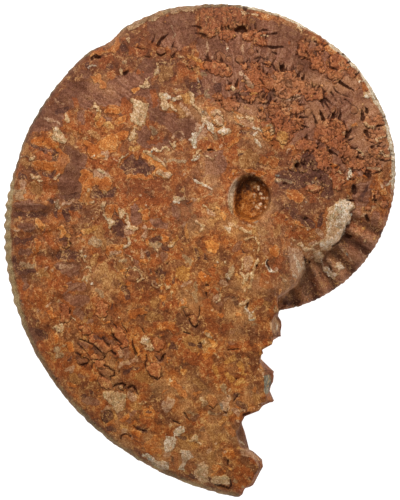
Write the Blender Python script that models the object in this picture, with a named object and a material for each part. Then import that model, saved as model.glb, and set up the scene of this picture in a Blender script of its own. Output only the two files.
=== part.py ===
"""A fossil ammonite: a flat, tightly coiled shell of the Taramelliceras kind, turned to stone in one piece.

It lies on one side. The keel runs in a level plane and the coil axis is vertical. The shell is broken
across at its youngest end, and what is left of the next half turn is a crust on the older whorl.
Lengths are in metres and angles in degrees. The turn angle is 0 below the coil axis, in plan, at the
broken end. It runs clockwise, to 90 at the left, 180 at the top and 270 at the right, and so back in
the shell's age. All shapes are worked out round the coil axis, and the finished stone is then moved
so that the middle of its box is over the origin and its worn flat is at height 0.
"""

import math

import bmesh
import bpy
from mathutils import Vector

# Driving dimensions of the shell
MM = 0.001
KEEL_RADIUS = 67.6 * MM  # from the coil axis to the keel, at the broken end
WHORL_EXPANSION = 2.63  # how many times the radius grows in a turn
HALF_THICKNESS = 15.0 * MM  # from the keel plane to the widest part of the flank, at the broken end
BLUNT_KEEL = 0.2  # half width of the blunt keel, as a share of the half thickness
WORN_FLAT_DEPTH = 12.2 * MM  # from the keel plane down to the flat that the stone lies on
COIL_AXIS = Vector((10.3 * MM, 12.5 * MM))  # from the middle of the stone's box, in plan

# Ribs: one crest and one trough to each pair of rings
RING_STEP = 3.0
RIB_PERIOD = 2 * RING_STEP
RIB_HEIGHT = 0.16 * MM
OLD_RIB_HEIGHT = 0.42 * MM  # where the younger whorl has broken away and never wore them
RIB_SWEEP = 5.0  # how far back the outer end of a rib leans
KEEL_SCALLOP = 0.12 * MM

# The sweep of the shell is made as two bodies that overlap by a ring or two
YOUNGEST_TURN = -24.0
SPLIT_TURN = 204.0
OLDEST_TURN = 384.0
SPLIT_SHRINK = 0.006

# Places where the keel is chipped or worn: turn angle, half width in degrees, and depth
KEEL_WEAR = (
    (138.0, 6.0, 1.3 * MM),
    (118.0, 26.0, 0.5 * MM),
    (97.0, 12.0, 0.5 * MM),
    (156.0, 9.0, -0.4 * MM),
)

# Crust left of the next half turn: turn angle, radius of its broken edge, and height of that edge.
# At its young end it is the whole of the young flank, and it thins out to nothing at its old end.
CRUST_START = 215.0
CRUST_WHOLE = 347.0
CRUST_POWER = 1.4
CRUST_WIDENS = 314.0  # from here the whole width of the crust rises to meet the young flank
CRUST_PROUD = 0.08 * MM  # over the young flank where the two meet, so that they cross at a low angle
CRUST_SUNK = 0.6 * MM  # under it further on
CRUST_EDGE = (
    (215, 27.0 * MM, 0.0 * MM),
    (250, 24.0 * MM, 0.0 * MM),
    (272, 22.1 * MM, 0.3 * MM),
    (277, 24.4 * MM, 0.5 * MM),
    (285, 24.0 * MM, 0.7 * MM),
    (289, 23.2 * MM, 0.8 * MM),
    (297, 23.8 * MM, 0.9 * MM),
    (302, 22.0 * MM, 0.9 * MM),
    (309, 20.9 * MM, 1.0 * MM),
    (317, 19.4 * MM, 1.3 * MM),
    (322, 21.4 * MM, 1.7 * MM),
    (330, 23.6 * MM, 2.2 * MM),
    (336, 23.8 * MM, 3.0 * MM),
    (342, 25.0 * MM, 4.5 * MM),
    (346, 25.4 * MM, 6.0 * MM),
    (390, 22.0 * MM, 6.0 * MM),
)
UNDERSIDE_EDGE_SHIFT = -7.0  # the same crust on the hidden side breaks a little elsewhere

# Places on a ring, from the axis to the crust's edge and from there to the keel
INNER_STEPS = (0.05, 0.17, 0.32, 0.5, 0.69, 0.86, 0.97)
OUTER_STEPS = (0.03, 0.25, 0.48, 0.68, 0.83, 0.93, 0.98)

# The broken end, from the notch beside the old keel to the tip at the young keel: distance below the
# coil axis, and the edge's distance to the right of it on the upper side, mid-way and underneath
BREAK_EDGE = (
    (0.7 * MM, 0.2 * MM, 0.2 * MM, 0.2 * MM),
    (14.0 * MM, 3.8 * MM, 3.8 * MM, 3.8 * MM),
    (24.5 * MM, 6.6 * MM, 6.9 * MM, 6.6 * MM),
    (26.2 * MM, 6.7 * MM, 7.4 * MM, 6.6 * MM),
    (27.3 * MM, 5.6 * MM, 7.3 * MM, 6.1 * MM),
    (28.3 * MM, 5.4 * MM, 7.8 * MM, 6.0 * MM),
    (31.4 * MM, 5.5 * MM, 7.8 * MM, 6.4 * MM),
    (32.2 * MM, 5.8 * MM, 6.1 * MM, 6.7 * MM),
    (33.5 * MM, 5.7 * MM, 5.9 * MM, 5.2 * MM),
    (34.4 * MM, 3.6 * MM, 3.7 * MM, 3.9 * MM),
    (36.0 * MM, 3.1 * MM, 3.7 * MM, 3.3 * MM),
    (37.4 * MM, 3.1 * MM, 4.2 * MM, 3.9 * MM),
    (38.6 * MM, 3.5 * MM, 5.2 * MM, 5.1 * MM),
    (40.0 * MM, 4.0 * MM, 6.2 * MM, 5.4 * MM),
    (41.9 * MM, 4.1 * MM, 5.8 * MM, 4.6 * MM),
    (44.1 * MM, 4.1 * MM, 5.5 * MM, 3.5 * MM),
    (45.3 * MM, 4.2 * MM, 6.2 * MM, 2.9 * MM),
    (46.3 * MM, 4.1 * MM, 5.9 * MM, 2.8 * MM),
    (46.9 * MM, 3.3 * MM, 3.6 * MM, 2.1 * MM),
    (48.3 * MM, 2.2 * MM, 3.1 * MM, 1.3 * MM),
    (49.1 * MM, 0.7 * MM, 0.9 * MM, 0.8 * MM),
    (50.2 * MM, -0.8 * MM, -0.5 * MM, 0.4 * MM),
    (52.2 * MM, -2.4 * MM, -0.3 * MM, -1.6 * MM),
    (54.5 * MM, -1.8 * MM, 0.0 * MM, -2.2 * MM),
    (56.5 * MM, -0.6 * MM, 0.5 * MM, -1.1 * MM),
    (57.6 * MM, 0.9 * MM, 1.9 * MM, 0.2 * MM),
    (58.7 * MM, 1.8 * MM, 3.1 * MM, 0.9 * MM),
    (60.0 * MM, 2.2 * MM, 3.6 * MM, 1.9 * MM),
    (61.6 * MM, 2.0 * MM, 3.0 * MM, 2.2 * MM),
    (63.8 * MM, 1.1 * MM, 2.0 * MM, 1.5 * MM),
    (65.3 * MM, -0.4 * MM, 0.9 * MM, 0.1 * MM),
    (66.4 * MM, -1.3 * MM, -0.6 * MM, -0.9 * MM),
    (67.8 * MM, -2.4 * MM, -1.8 * MM, -1.9 * MM),
    (76.0 * MM, -4.0 * MM, -4.0 * MM, -4.0 * MM),
)
# Height over the keel plane, as a share of the half thickness there, and which of the three edges
BREAK_LEVELS = ((1.6, 0), (0.72, 0), (0.42, 1), (0.15, 1), (-0.12, 1), (-0.4, 1), (-0.7, 2), (-1.6, 2))
BREAK_HOLLOWS = 0.7 * MM  # how deep the broken face is pocked between its edges
BREAK_DEPTH_MIN = 3.0 * MM
CUTTER_REACH = 60.0 * MM

# The umbilicus: a steep pit at the middle of each side, its floor and its rim a little out of line
PIT_CENTRE = Vector((1.3 * MM, -0.9 * MM))
PIT_LEAN = Vector((-0.6 * MM, -0.2 * MM))
PIT_FLOOR_RADIUS = 3.6 * MM
PIT_RIM_RADIUS = 4.6 * MM
PIT_FLOOR_HEIGHT = 7.2 * MM
PIT_RIM_HEIGHT = 16.5 * MM
PIT_STRETCH = 1.1
CORE_RADIUS = 3.0 * MM

# Holes where the stone has weathered out between the folded chamber walls, on the upper side:
# distance right of the coil axis and above it in plan, and width
HOLES = (
    (-1.2 * MM, 36.5 * MM, 2.2 * MM),
    (8.3 * MM, 27.8 * MM, 1.9 * MM),
    (12.4 * MM, 26.1 * MM, 1.8 * MM),
    (21.0 * MM, 16.8 * MM, 1.9 * MM),
    (26.4 * MM, 17.6 * MM, 2.0 * MM),
    (22.7 * MM, 12.9 * MM, 1.9 * MM),
    (26.8 * MM, 13.4 * MM, 2.1 * MM),
    (11.8 * MM, 6.0 * MM, 1.9 * MM),
    (23.9 * MM, 0.9 * MM, 1.7 * MM),
    (22.8 * MM, -8.6 * MM, 1.6 * MM),
    (-18.9 * MM, 34.3 * MM, 1.7 * MM),
    (-33.4 * MM, 30.5 * MM, 1.7 * MM),
    (-11.1 * MM, 37.2 * MM, 1.7 * MM),
    (5.5 * MM, -15.8 * MM, 2.2 * MM),
    (0.9 * MM, -24.9 * MM, 1.7 * MM),
    (-30.5 * MM, -37.0 * MM, 1.7 * MM),
    (-22.0 * MM, -41.0 * MM, 1.7 * MM),
)
HOLE_SINK = 0.1  # how far the middle of a hole's ball is below the flank, as a share of its width

STONE_COLOUR = (0.27, 0.115, 0.05, 1.0)
STONE_ROUGHNESS = 0.62


def growth(turn):
    """Size of the shell at a turn angle, as a share of its size at the broken end."""
    return WHORL_EXPANSION ** (-turn / 360)


def ramp(value, low, high):
    """0 up to low, 1 from high on, and smooth between them."""
    share = min(1.0, max(0.0, (value - low) / (high - low)))
    return share * share * (3 - 2 * share)


def direction(turn):
    """Unit vector in plan from the coil axis."""
    angle = math.radians(turn)
    return Vector((-math.sin(angle), -math.cos(angle)))


def flank_height(turn, radius):
    """Half thickness of the whole shell, before ribs, crust and wear."""
    share = min(1.0, radius / (KEEL_RADIUS * growth(turn)))
    lens = (1 - share**2.6) ** 0.75
    keel = (1 - share**30) ** 0.5
    return HALF_THICKNESS * growth(turn) * ((1 - BLUNT_KEEL) * lens + BLUNT_KEEL * keel)


def rib_wave(turn, share):
    """Height that the ribs add to a flank. They start half-way out and stand highest near the keel."""
    height = RIB_HEIGHT + (OLD_RIB_HEIGHT - RIB_HEIGHT) * ramp(turn, 255, 300)
    fade = ramp(share, 0.45, 0.8) * (1 - ramp(share, 0.93, 1.0))
    return height * fade * math.cos(2 * math.pi * turn / RIB_PERIOD)


def crust_edge(turn):
    """Radius and height of the crust's broken edge, read between the places where it was measured."""
    for (t0, r0, h0), (t1, r1, h1) in zip(CRUST_EDGE, CRUST_EDGE[1:]):
        if t0 <= turn <= t1:
            share = (turn - t0) / (t1 - t0)
            return r0 + (r1 - r0) * share, h0 + (h1 - h0) * share
    return 0.72 * KEEL_RADIUS * growth(turn), 0.0


def crust_height(turn, radius, edge_radius, edge_height):
    """Height of the crust over the old flank, inside its broken edge."""
    if turn <= CRUST_START:
        return 0.0
    gap = flank_height(turn - 360, radius) - flank_height(turn, radius)
    risen = min(1.0, (turn - CRUST_START) / (CRUST_WHOLE - CRUST_START)) ** CRUST_POWER
    squareness = 2 + 5 * ramp(turn, CRUST_WIDENS, CRUST_WHOLE)
    fall = risen * (1 - min(1.0, radius / edge_radius) ** squareness) ** 0.8
    whole = ramp(turn, CRUST_WIDENS, CRUST_WHOLE)
    height = edge_height + (gap - edge_height) * (fall + (1 - fall) * whole)
    sunk = (CRUST_PROUD + CRUST_SUNK) * ramp(turn, CRUST_WHOLE, CRUST_WHOLE + 8)
    return height + CRUST_PROUD * whole - sunk


def keel_wear(turn):
    """Depth that chips and wear have taken off the keel."""
    depth = 0.0
    for middle, half_width, deepest in KEEL_WEAR:
        depth += deepest * (1 - ramp(abs(turn - middle), 0.0, half_width))
    return depth


def ring(turn):
    """One cross-section of the shell: points from the axis over the upper flank to the keel, and back
    under the lower flank. The section leans back towards the keel, as growth lines do."""
    keel_radius = KEEL_RADIUS * growth(turn)
    worn = keel_wear(turn + RIB_SWEEP)
    shrink = 1 - SPLIT_SHRINK * (1 - ramp(turn, SPLIT_TURN, SPLIT_TURN + RING_STEP)) * (turn > SPLIT_TURN - 10)
    sides = []
    for side, edge_shift in ((1, 0.0), (-1, UNDERSIDE_EDGE_SHIFT)):
        edge_radius, edge_height = crust_edge(turn + edge_shift if turn > CRUST_START else turn)
        edge_radius = min(edge_radius, 0.93 * keel_radius)
        radii = [(edge_radius * step, True) for step in INNER_STEPS]
        radii += [(edge_radius + (keel_radius - edge_radius) * step, False) for step in OUTER_STEPS]
        points = []
        for radius, on_crust in radii:
            share = radius / keel_radius
            height = flank_height(turn, radius)
            covered = ramp(turn, CRUST_START, CRUST_WHOLE) if on_crust else 0.0
            height += rib_wave(turn, share) * (1 - covered)
            if on_crust:
                height += crust_height(turn, radius, edge_radius, edge_height)
            lean = RIB_SWEEP * max(0.0, share - 0.5) / 0.5
            grown = growth(turn + lean) / growth(turn)
            place = direction(turn + lean) * (radius * grown - worn * share**12) * shrink
            points.append(Vector((place.x, place.y, side * height * grown * shrink)))
        sides.append(points)
    scallop = KEEL_SCALLOP * math.cos(2 * math.pi * turn / RIB_PERIOD)
    rim = direction(turn + RIB_SWEEP) * (KEEL_RADIUS * growth(turn + RIB_SWEEP) + scallop - worn) * shrink
    return sides[0] + [Vector((rim.x, rim.y, 0.0))] + sides[1][::-1]


def new_object(name, mesh_builder, collection):
    """An object from a bmesh, in a collection, with its faces pointing out."""
    bmesh.ops.recalc_face_normals(mesh_builder, faces=mesh_builder.faces)
    mesh = bpy.data.meshes.new(name)
    mesh_builder.to_mesh(mesh)
    mesh_builder.free()
    made = bpy.data.objects.new(name, mesh)
    collection.objects.link(made)
    return made


def whorl(name, first_turn, last_turn, collection):
    """A stretch of the shell as one closed body: rings bridged one to the next, and both ends capped."""
    built = bmesh.new()
    count = round((last_turn - first_turn) / RING_STEP)
    rings = []
    for index in range(count + 1):
        rings.append([built.verts.new(point) for point in ring(first_turn + index * RING_STEP)])
    for one, two in zip(rings, rings[1:]):
        for place in range(len(one)):
            after = (place + 1) % len(one)
            built.faces.new((one[place], one[after], two[after], two[place]))
    for end in (rings[0], rings[-1]):
        built.faces.new(end)
    bmesh.ops.triangulate(built, faces=[face for face in built.faces if len(face.verts) > 4])
    return new_object(name, built, collection)


def break_cutter(collection):
    """The space right of the broken end: a grid bent to the ragged edge, pushed out to the right."""
    built = bmesh.new()
    rows, columns = len(BREAK_EDGE), len(BREAK_LEVELS)
    grid = bmesh.ops.create_grid(built, x_segments=rows - 1, y_segments=columns - 1, size=1)
    corners = sorted(grid["verts"], key=lambda vert: (round(vert.co.x, 4), -round(vert.co.y, 4)))
    for index, vert in enumerate(corners):
        row, column = divmod(index, columns)
        below, *edges = BREAK_EDGE[row]
        level, which = BREAK_LEVELS[column]
        depth = max(BREAK_DEPTH_MIN, flank_height(0.0, min(below, KEEL_RADIUS)))
        hollow = BREAK_HOLLOWS * math.sin(2.4 * row + 1.9 * column) ** 2 if which == 1 else 0.0
        vert.co = (edges[which] - hollow, -below, level * depth)
    pushed = bmesh.ops.extrude_face_region(built, geom=list(built.faces))
    for item in pushed["geom"]:
        if isinstance(item, bmesh.types.BMVert):
            item.co.x = CUTTER_REACH
    return new_object("broken_off_end", built, collection)


def pit_cutter(name, side, floor_height, collection):
    """The umbilicus as a cone that widens away from the keel plane."""
    built = bmesh.new()
    depth = PIT_RIM_HEIGHT - floor_height
    cone = bmesh.ops.create_cone(
        built, cap_ends=True, segments=28, radius1=PIT_FLOOR_RADIUS, radius2=PIT_RIM_RADIUS, depth=depth
    )
    for vert in cone["verts"]:
        at_rim = vert.co.z > 0
        lean = PIT_LEAN if at_rim else Vector((0.0, 0.0))
        height = PIT_RIM_HEIGHT if at_rim else floor_height
        plan = Vector((vert.co.x, vert.co.y * PIT_STRETCH)) + PIT_CENTRE + lean
        vert.co = (plan.x, plan.y, side * height)
    return new_object(name, built, collection)


def hole_cutter(collection):
    """All the weathered holes, as separate balls whose middles are a little below the flank."""
    built = bmesh.new()
    for across, up, width in HOLES:
        radius = math.hypot(across, up)
        turn = math.degrees(math.atan2(-across, -up)) % 360
        turn = turn - 360 if turn > CRUST_WHOLE else turn
        ball = bmesh.ops.create_icosphere(built, subdivisions=1, radius=width / 2)
        edge_radius, edge_height = crust_edge(turn)
        height = flank_height(turn, radius) - HOLE_SINK * width
        if radius < edge_radius:
            height += crust_height(turn, radius, edge_radius, edge_height)
        bmesh.ops.translate(built, verts=ball["verts"], vec=(across, up, height))
    return new_object("weathered_holes", built, collection)


def core(collection):
    """Stone between the floors of the two pits."""
    built = bmesh.new()
    bmesh.ops.create_cone(
        built, cap_ends=True, segments=24, radius1=CORE_RADIUS, radius2=CORE_RADIUS, depth=2 * PIT_FLOOR_HEIGHT + 2 * MM
    )
    return new_object("core", built, collection)


def worn_away(collection):
    """What wear has taken off the underside: a slab below the flat that the stone lies on."""
    built = bmesh.new()
    bmesh.ops.create_cube(built, size=1.0)
    for vert in built.verts:
        vert.co.x *= 4 * KEEL_RADIUS
        vert.co.y *= 4 * KEEL_RADIUS
        vert.co.z = -WORN_FLAT_DEPTH if vert.co.z > 0 else -3 * HALF_THICKNESS
    return new_object("worn_away", built, collection)


def stone():
    """The fossil's material: rusty brown limestone and calcite."""
    material = bpy.data.materials.new("rusty_fossil_stone")
    material.use_nodes = True
    shader = material.node_tree.nodes["Principled BSDF"]
    shader.inputs["Base Color"].default_value = STONE_COLOUR
    shader.inputs["Roughness"].default_value = STONE_ROUGHNESS
    shader.inputs["Metallic"].default_value = 0.0
    return material


def combine(target, other, operation):
    """Adds or cuts one body, with an exact Boolean modifier, and marks that body as a construction shape."""
    modifier = target.modifiers.new(f"{operation.lower()}_{other.name}", "BOOLEAN")
    modifier.operation = operation
    modifier.object = other
    modifier.solver = "EXACT"
    other.hide_render = True
    other.display_type = "WIRE"


def build():
    for old in list(bpy.data.objects):
        bpy.data.objects.remove(old)
    parts = bpy.data.collections.new("Fossil_ammonite")
    cutters = bpy.data.collections.new("Construction_shapes")
    for collection in (parts, cutters):
        bpy.context.scene.collection.children.link(collection)

    ammonite = whorl("ammonite", YOUNGEST_TURN, SPLIT_TURN, parts)
    combine(ammonite, break_cutter(cutters), "DIFFERENCE")
    combine(ammonite, whorl("older_whorl", SPLIT_TURN - 2 * RING_STEP, OLDEST_TURN, cutters), "UNION")
    combine(ammonite, core(cutters), "UNION")
    combine(ammonite, pit_cutter("upper_umbilicus", 1, PIT_FLOOR_HEIGHT, cutters), "DIFFERENCE")
    combine(ammonite, pit_cutter("lower_umbilicus", -1, PIT_FLOOR_HEIGHT, cutters), "DIFFERENCE")
    combine(ammonite, hole_cutter(cutters), "DIFFERENCE")
    combine(ammonite, worn_away(cutters), "DIFFERENCE")
    ammonite.data.materials.append(stone())
    ammonite.data.shade_smooth()
    for piece in (ammonite, *cutters.objects):
        piece.location = (COIL_AXIS.x, COIL_AXIS.y, WORN_FLAT_DEPTH)


build()
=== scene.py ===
import functools
import itertools
import math

import bmesh
import bpy
import numpy as np
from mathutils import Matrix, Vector


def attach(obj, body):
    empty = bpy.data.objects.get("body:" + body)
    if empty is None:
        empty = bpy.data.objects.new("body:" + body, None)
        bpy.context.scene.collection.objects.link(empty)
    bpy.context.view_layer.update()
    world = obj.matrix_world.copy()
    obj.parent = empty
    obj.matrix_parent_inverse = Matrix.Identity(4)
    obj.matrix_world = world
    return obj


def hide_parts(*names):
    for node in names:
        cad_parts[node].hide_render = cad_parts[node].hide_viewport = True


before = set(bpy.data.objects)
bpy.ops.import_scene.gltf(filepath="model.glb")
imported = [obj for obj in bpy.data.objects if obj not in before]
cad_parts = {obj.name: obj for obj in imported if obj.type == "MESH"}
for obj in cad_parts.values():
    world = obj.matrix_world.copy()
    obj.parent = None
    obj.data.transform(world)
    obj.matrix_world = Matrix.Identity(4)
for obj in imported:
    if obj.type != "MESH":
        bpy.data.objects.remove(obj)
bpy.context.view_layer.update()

# The setting: a light table, a sheet of white acrylic lit from inside, seen from straight above, so
# that no shadow shows on it. The fossil lies on its side, as loose ammonites do, and a window on the
# far side of the table gives every hollow its shadow on that side.
MM = 0.001
PHOTO_WIDTH, PHOTO_HEIGHT = 400, 500
KEEL_PLANE = 12.2 * MM
PIXEL = 0.2216 * MM
LENS = 200.0
FILM = 36.0
CAMERA_RISE = LENS / FILM * PHOTO_HEIGHT * PIXEL
MIDDLE_Y = 0.5 * PIXEL
TABLE_HALF = 1.5
WHITE = (1.0, 1.0, 1.0, 1.0)


def linked(name, data):
    """A new object in the scene."""
    made = bpy.data.objects.new(name, data)
    bpy.context.scene.collection.objects.link(made)
    return made


white_table = bpy.data.materials.new("white_table")
white_table.use_nodes = True
white_shader = white_table.node_tree.nodes["Principled BSDF"]
white_shader.inputs["Base Color"].default_value = (0.4, 0.4, 0.4, 1.0)
white_shader.inputs["Roughness"].default_value = 0.9
white_shader.inputs["Emission Color"].default_value = WHITE
white_shader.inputs["Emission Strength"].default_value = 1.0
table_mesh = bmesh.new()
bmesh.ops.create_grid(table_mesh, x_segments=1, y_segments=1, size=TABLE_HALF)
table_data = bpy.data.meshes.new("table_top")
table_mesh.to_mesh(table_data)
table_mesh.free()
table_data.materials.append(white_table)
table = linked("table_top", table_data)

camera_data = bpy.data.cameras.new("overhead_camera")
camera_data.lens = LENS
camera_data.sensor_width = FILM
camera_data.clip_start = 0.01
camera = linked("overhead_camera", camera_data)
camera.location = (0.0, MIDDLE_Y, KEEL_PLANE + CAMERA_RISE)
bpy.context.scene.camera = camera


def soft_light(name, place, size, power):
    """A square softbox that faces the fossil."""
    light_data = bpy.data.lights.new(name, "AREA")
    light_data.size = size
    light_data.energy = power
    light = linked(name, light_data)
    light.location = place
    light.rotation_euler = (-Vector(place)).to_track_quat("-Z", "Y").to_euler()


soft_light("far_side_window", (-0.05, 0.55, 0.55), 0.30, 4.6)
soft_light("overhead_softbox", (0.0, 0.0, 0.9), 0.9, 1.5)
daylight = bpy.data.worlds.new("soft_daylight")
daylight.use_nodes = True
daylight.node_tree.nodes["Background"].inputs["Color"].default_value = WHITE
daylight.node_tree.nodes["Background"].inputs["Strength"].default_value = 0.34
bpy.context.scene.world = daylight
bpy.context.scene.view_settings.view_transform = "Standard"

# The stone: one solid of limestone and calcite in the shape of the shell that it filled, rusty from
# iron, with flakes of pale shell still on it. It is a flat coil whose every turn is the same curve
# grown larger, and the seams between its old chambers show as frilled leaves and lobes.
KEEL_RADIUS = 67.6 * MM
WHORL_EXPANSION = 2.63
COIL_AXIS = (10.3 * MM, 12.5 * MM)
COIL_AXIS_PX = (246, 194)
FIRST_TURN = -15.0
RIB_SPACING, RIB_SWEEP, RIB_HEIGHT = 6.0, 10.0, 0.08 * MM
OLD_RIB_SPACING, OLD_RIB_TURN, OLD_RIB_HEIGHT = 10.0, 6.3, 0.75 * MM
KNOB_SPACING, KNOB_HEIGHT = 2.5, 0.06 * MM
FOLDS_TURN, FOLDS_SPAN = 84.0, 17.0
UNDERSIDE_TURN = 40.0
POINT_SPACING = 0.25 * MM
SMOOTHING_STEPS = 70
TRIANGLES = 196000
PIT_DEEPER = 0.3
LOBE_PX, LOBE_GAP_PX = 2.0, 3.6
CELL = 0.5
NOTCH_PX = (278, 311)
TIP_PX = (238, 497)
BROKEN_EDGE_PX = (
    NOTCH_PX, (275, 318), (273, 330), (276, 340), (270, 347), (262, 349), (264, 372), (266, 397),
    (255, 408), (244, 417), (237, 435), (241, 445), (258, 455), (262, 465), (258, 475), (245, 487), TIP_PX,
)
CRUST_EDGE_PX = (
    NOTCH_PX, (285, 300), (290, 290), (300, 285), (306, 268), (304, 258), (313, 258), (321, 259), (325, 253),
    (331, 250), (332, 244), (340, 241), (345, 225), (351, 218), (349, 211), (356, 206), (346, 198),
)
# Down the broken end: how far down, where its edge is there, and how far a chip moves it to the right.
CHIPS_PX = (
    (312,279,0), (315,279,-2.5), (319,280,-0.3), (328,281,0), (334,281,-0.5), (336.4,278,2), (337.4,277,-4),
    (340,274,-1.5), (344.5,274,-1.7), (346,274,-6), (348,271,-8), (350,267,-4.5), (353,263,0), (359,266,-2),
    (363,268,-1.6), (367,270,0), (370,271,1.7), (374,273,0.6), (380,273,-0.3), (387,273,-1.5),
    (391,273,-1.8), (394.5,273,0.4), (402,272,0.5), (403,272,-6), (404.5,269,-7), (407,264,-2.5),
    (411,261,-1.5), (412.5,259,-8), (417,253,-9), (421,248,-4.2), (425,246,-1.8), (430,244,0), (448,248,0),
    (450,249,3.5), (452,251,2.8), (454,253,1.8), (455.5,256,3), (457,258.5,2), (460,261,0.6), (464,261,1.5),
    (469,260,2.2), (473,258,0), (475,257,-1.1), (485,253,-0.3), (487,251,-1.5), (489,249,-4.5),
    (491,247,-3.5), (494,243.5,-0.5), (497,241,0),
)
INNER_TURN_PX = CRUST_EDGE_PX + ((352, 184), (372, 180), (392, 200), (398, 250), (350, 310), (285, 325))
UMBILICUS_PX = (249.0, 199.0)
UMBILICUS_SIZE_PX = (20.0, 24.5)

# What lies where on the flank, in photo pixels from the left and from the top. An outline is a row of
# corners (across, down), and a strand is a row of rounds (across, down, radius).
DUSKY_PX = (
    ((136,188,7),), ((280,190,8), (292,186,9)), ((328,198,6),), ((258,160,7), (284,158,7)), ((158,114,7),),
    ((160,62,7), (186,62,7)), ((190,36,6), (214,44,5)), ((280,36,7), (296,38,5)), ((186,84,6),),
    ((286,258,4),), ((358,254,6),), ((86,310,6),), ((162,334,6),), ((212,334,5),), ((236,358,5),),
    ((86,388,6), (112,386,6), (136,388,5)), ((164,408,5),), ((212,484,4),), ((252,356,4), (255,392,5)),
    ((184,324,5), (198,330,5)), ((154,392,5), (168,420,5)), ((224,258,5), (228,292,5)),
    ((130,188,7), (146,188,5)), ((286,184,8), (298,180,7)), ((88,212,7), (106,212,7)),
    ((184,190,7), (186,236,7)), ((362,260,7), (362,252,5)), ((284,262,5), (262,312,6)),
    ((260,334,7), (136,312,6)), ((88,386,6), (80,382,5)), ((186,362,6), (256,468,5)),
    ((184,122,6), (190,130,6)), ((186,136,4), (146,138,5)), ((150,16,5), (200,8,7), (246,10,5)),
    ((122,34,5), (160,26,5), (210,24,5), (256,26,4)), ((152,60,5), (170,74,6), (156,88,5)),
    ((276,24,5), (306,38,5)), ((206,4,4), (236,6,4)), ((160,184,5), (166,190,4)),
    ((112,236,5), (112,262,6)), ((284,184,5),), ((260,334,4),), ((258,466,4),), ((72,100,4), (84,84,5)),
    ((62,84,4), (76,70,4), (94,54,4)), ((84,200,6), (100,192,6)), ((286,176,8), (304,168,8)),
    ((358,262,3), (350,272,3)), ((84,384,4),), ((34,104,4), (46,96,4)),
    ((40,110,14), (62,84,16), (100,50,16), (150,28,12)), ((28,172,7), (36,172,6)),
    ((280,205,7), (305,210,10), (318,198,8)), ((70,160,10), (70,194,10)), ((28,120,10), (20,140,4)),
    ((96,62,10), (120,62,10), (148,56,8)), ((12,214,6), (46,214,5)), ((14,240,6), (34,240,5)),
    ((16,262,6), (24,272,6)), ((40,332,8), (30,320,5)), ((96,430,8), (84,412,6)),
    ((190,470,6), (196,456,4)), ((326,262,8), (306,288,9)), ((344,244,8),), ((66,256,8), (78,258,6)),
    ((160,272,8), (140,292,8)), ((224,292,7), (236,300,6)), ((226,22,8), (206,20,8)),
    ((244,20,6), (252,26,6)), ((300,60,6), (310,74,5)),
)
DUSTY_PX = (
    ((364,126,8), (386,132,8)), ((384,156,8), (358,156,6)), ((384,112,5), (378,100,5)),
    ((226,112,9), (256,112,8)), ((256,134,7), (262,146,5)), ((284,88,6), (292,84,6)),
    ((298,252,9), (302,272,9)), ((330,262,6), (338,270,6)), ((286,284,7), (300,290,6)),
    ((12,306,5), (16,316,4)), ((230,432,7), (240,440,4)), ((188,384,7), (186,408,7)),
    ((160,460,6), (188,462,6)), ((360,130,5), (384,140,5)), ((384,158,5), (358,156,5)),
    ((386,112,5), (376,104,5)), ((112,40,4), (120,34,3)), ((312,112,7), (320,120,6)),
    ((236,286,6), (286,284,5)), ((240,118,6), (220,118,6)), ((298,254,6), (300,270,6)),
    ((250,392,5), (246,400,5)), ((104,352,5), (126,452,4)), ((12,300,4), (14,312,4)),
    ((96,84,4), (112,92,4)), ((206,108,4), (236,108,5)), ((378,140,3), (382,160,3)),
    ((296,258,6), (322,250,6)), ((336,244,6), (330,262,5)), ((150,440,5), (168,456,6)), ((8,306,3),),
    ((268,362,3),), ((256,410,3),), ((236,334,6),), ((208,160,6), (212,184,7)), ((186,212,6),),
    ((276,86,6), (290,108,6)), ((332,232,6), (338,244,5)), ((306,258,6), (314,268,6)), ((62,160,6),),
    ((200,112,9), (224,116,9), (244,114,9)), ((226,226,7), (240,232,7)), ((196,226,9), (206,222,8)),
    ((232,310,8), (246,316,8)), ((184,448,9), (206,470,8), (212,456,7)),
    ((96,274,6), (108,284,7), (98,292,6)), ((206,396,8), (226,404,7)), ((268,206,7), (262,234,6)),
    ((188,296,8), (196,306,7)), ((214,424,8), (206,440,8)), ((280,84,8), (310,84,8), (350,84,8)),
    ((330,236,7),), ((286,292,7), (298,290,6)), ((8,314,6),), ((160,388,7), (184,390,6)), ((160,466,6),),
    ((364,110,8), (384,116,7)), ((360,138,8), (388,140,7)), ((280,6,6), (296,16,6)), ((156,6,6),),
)
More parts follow.
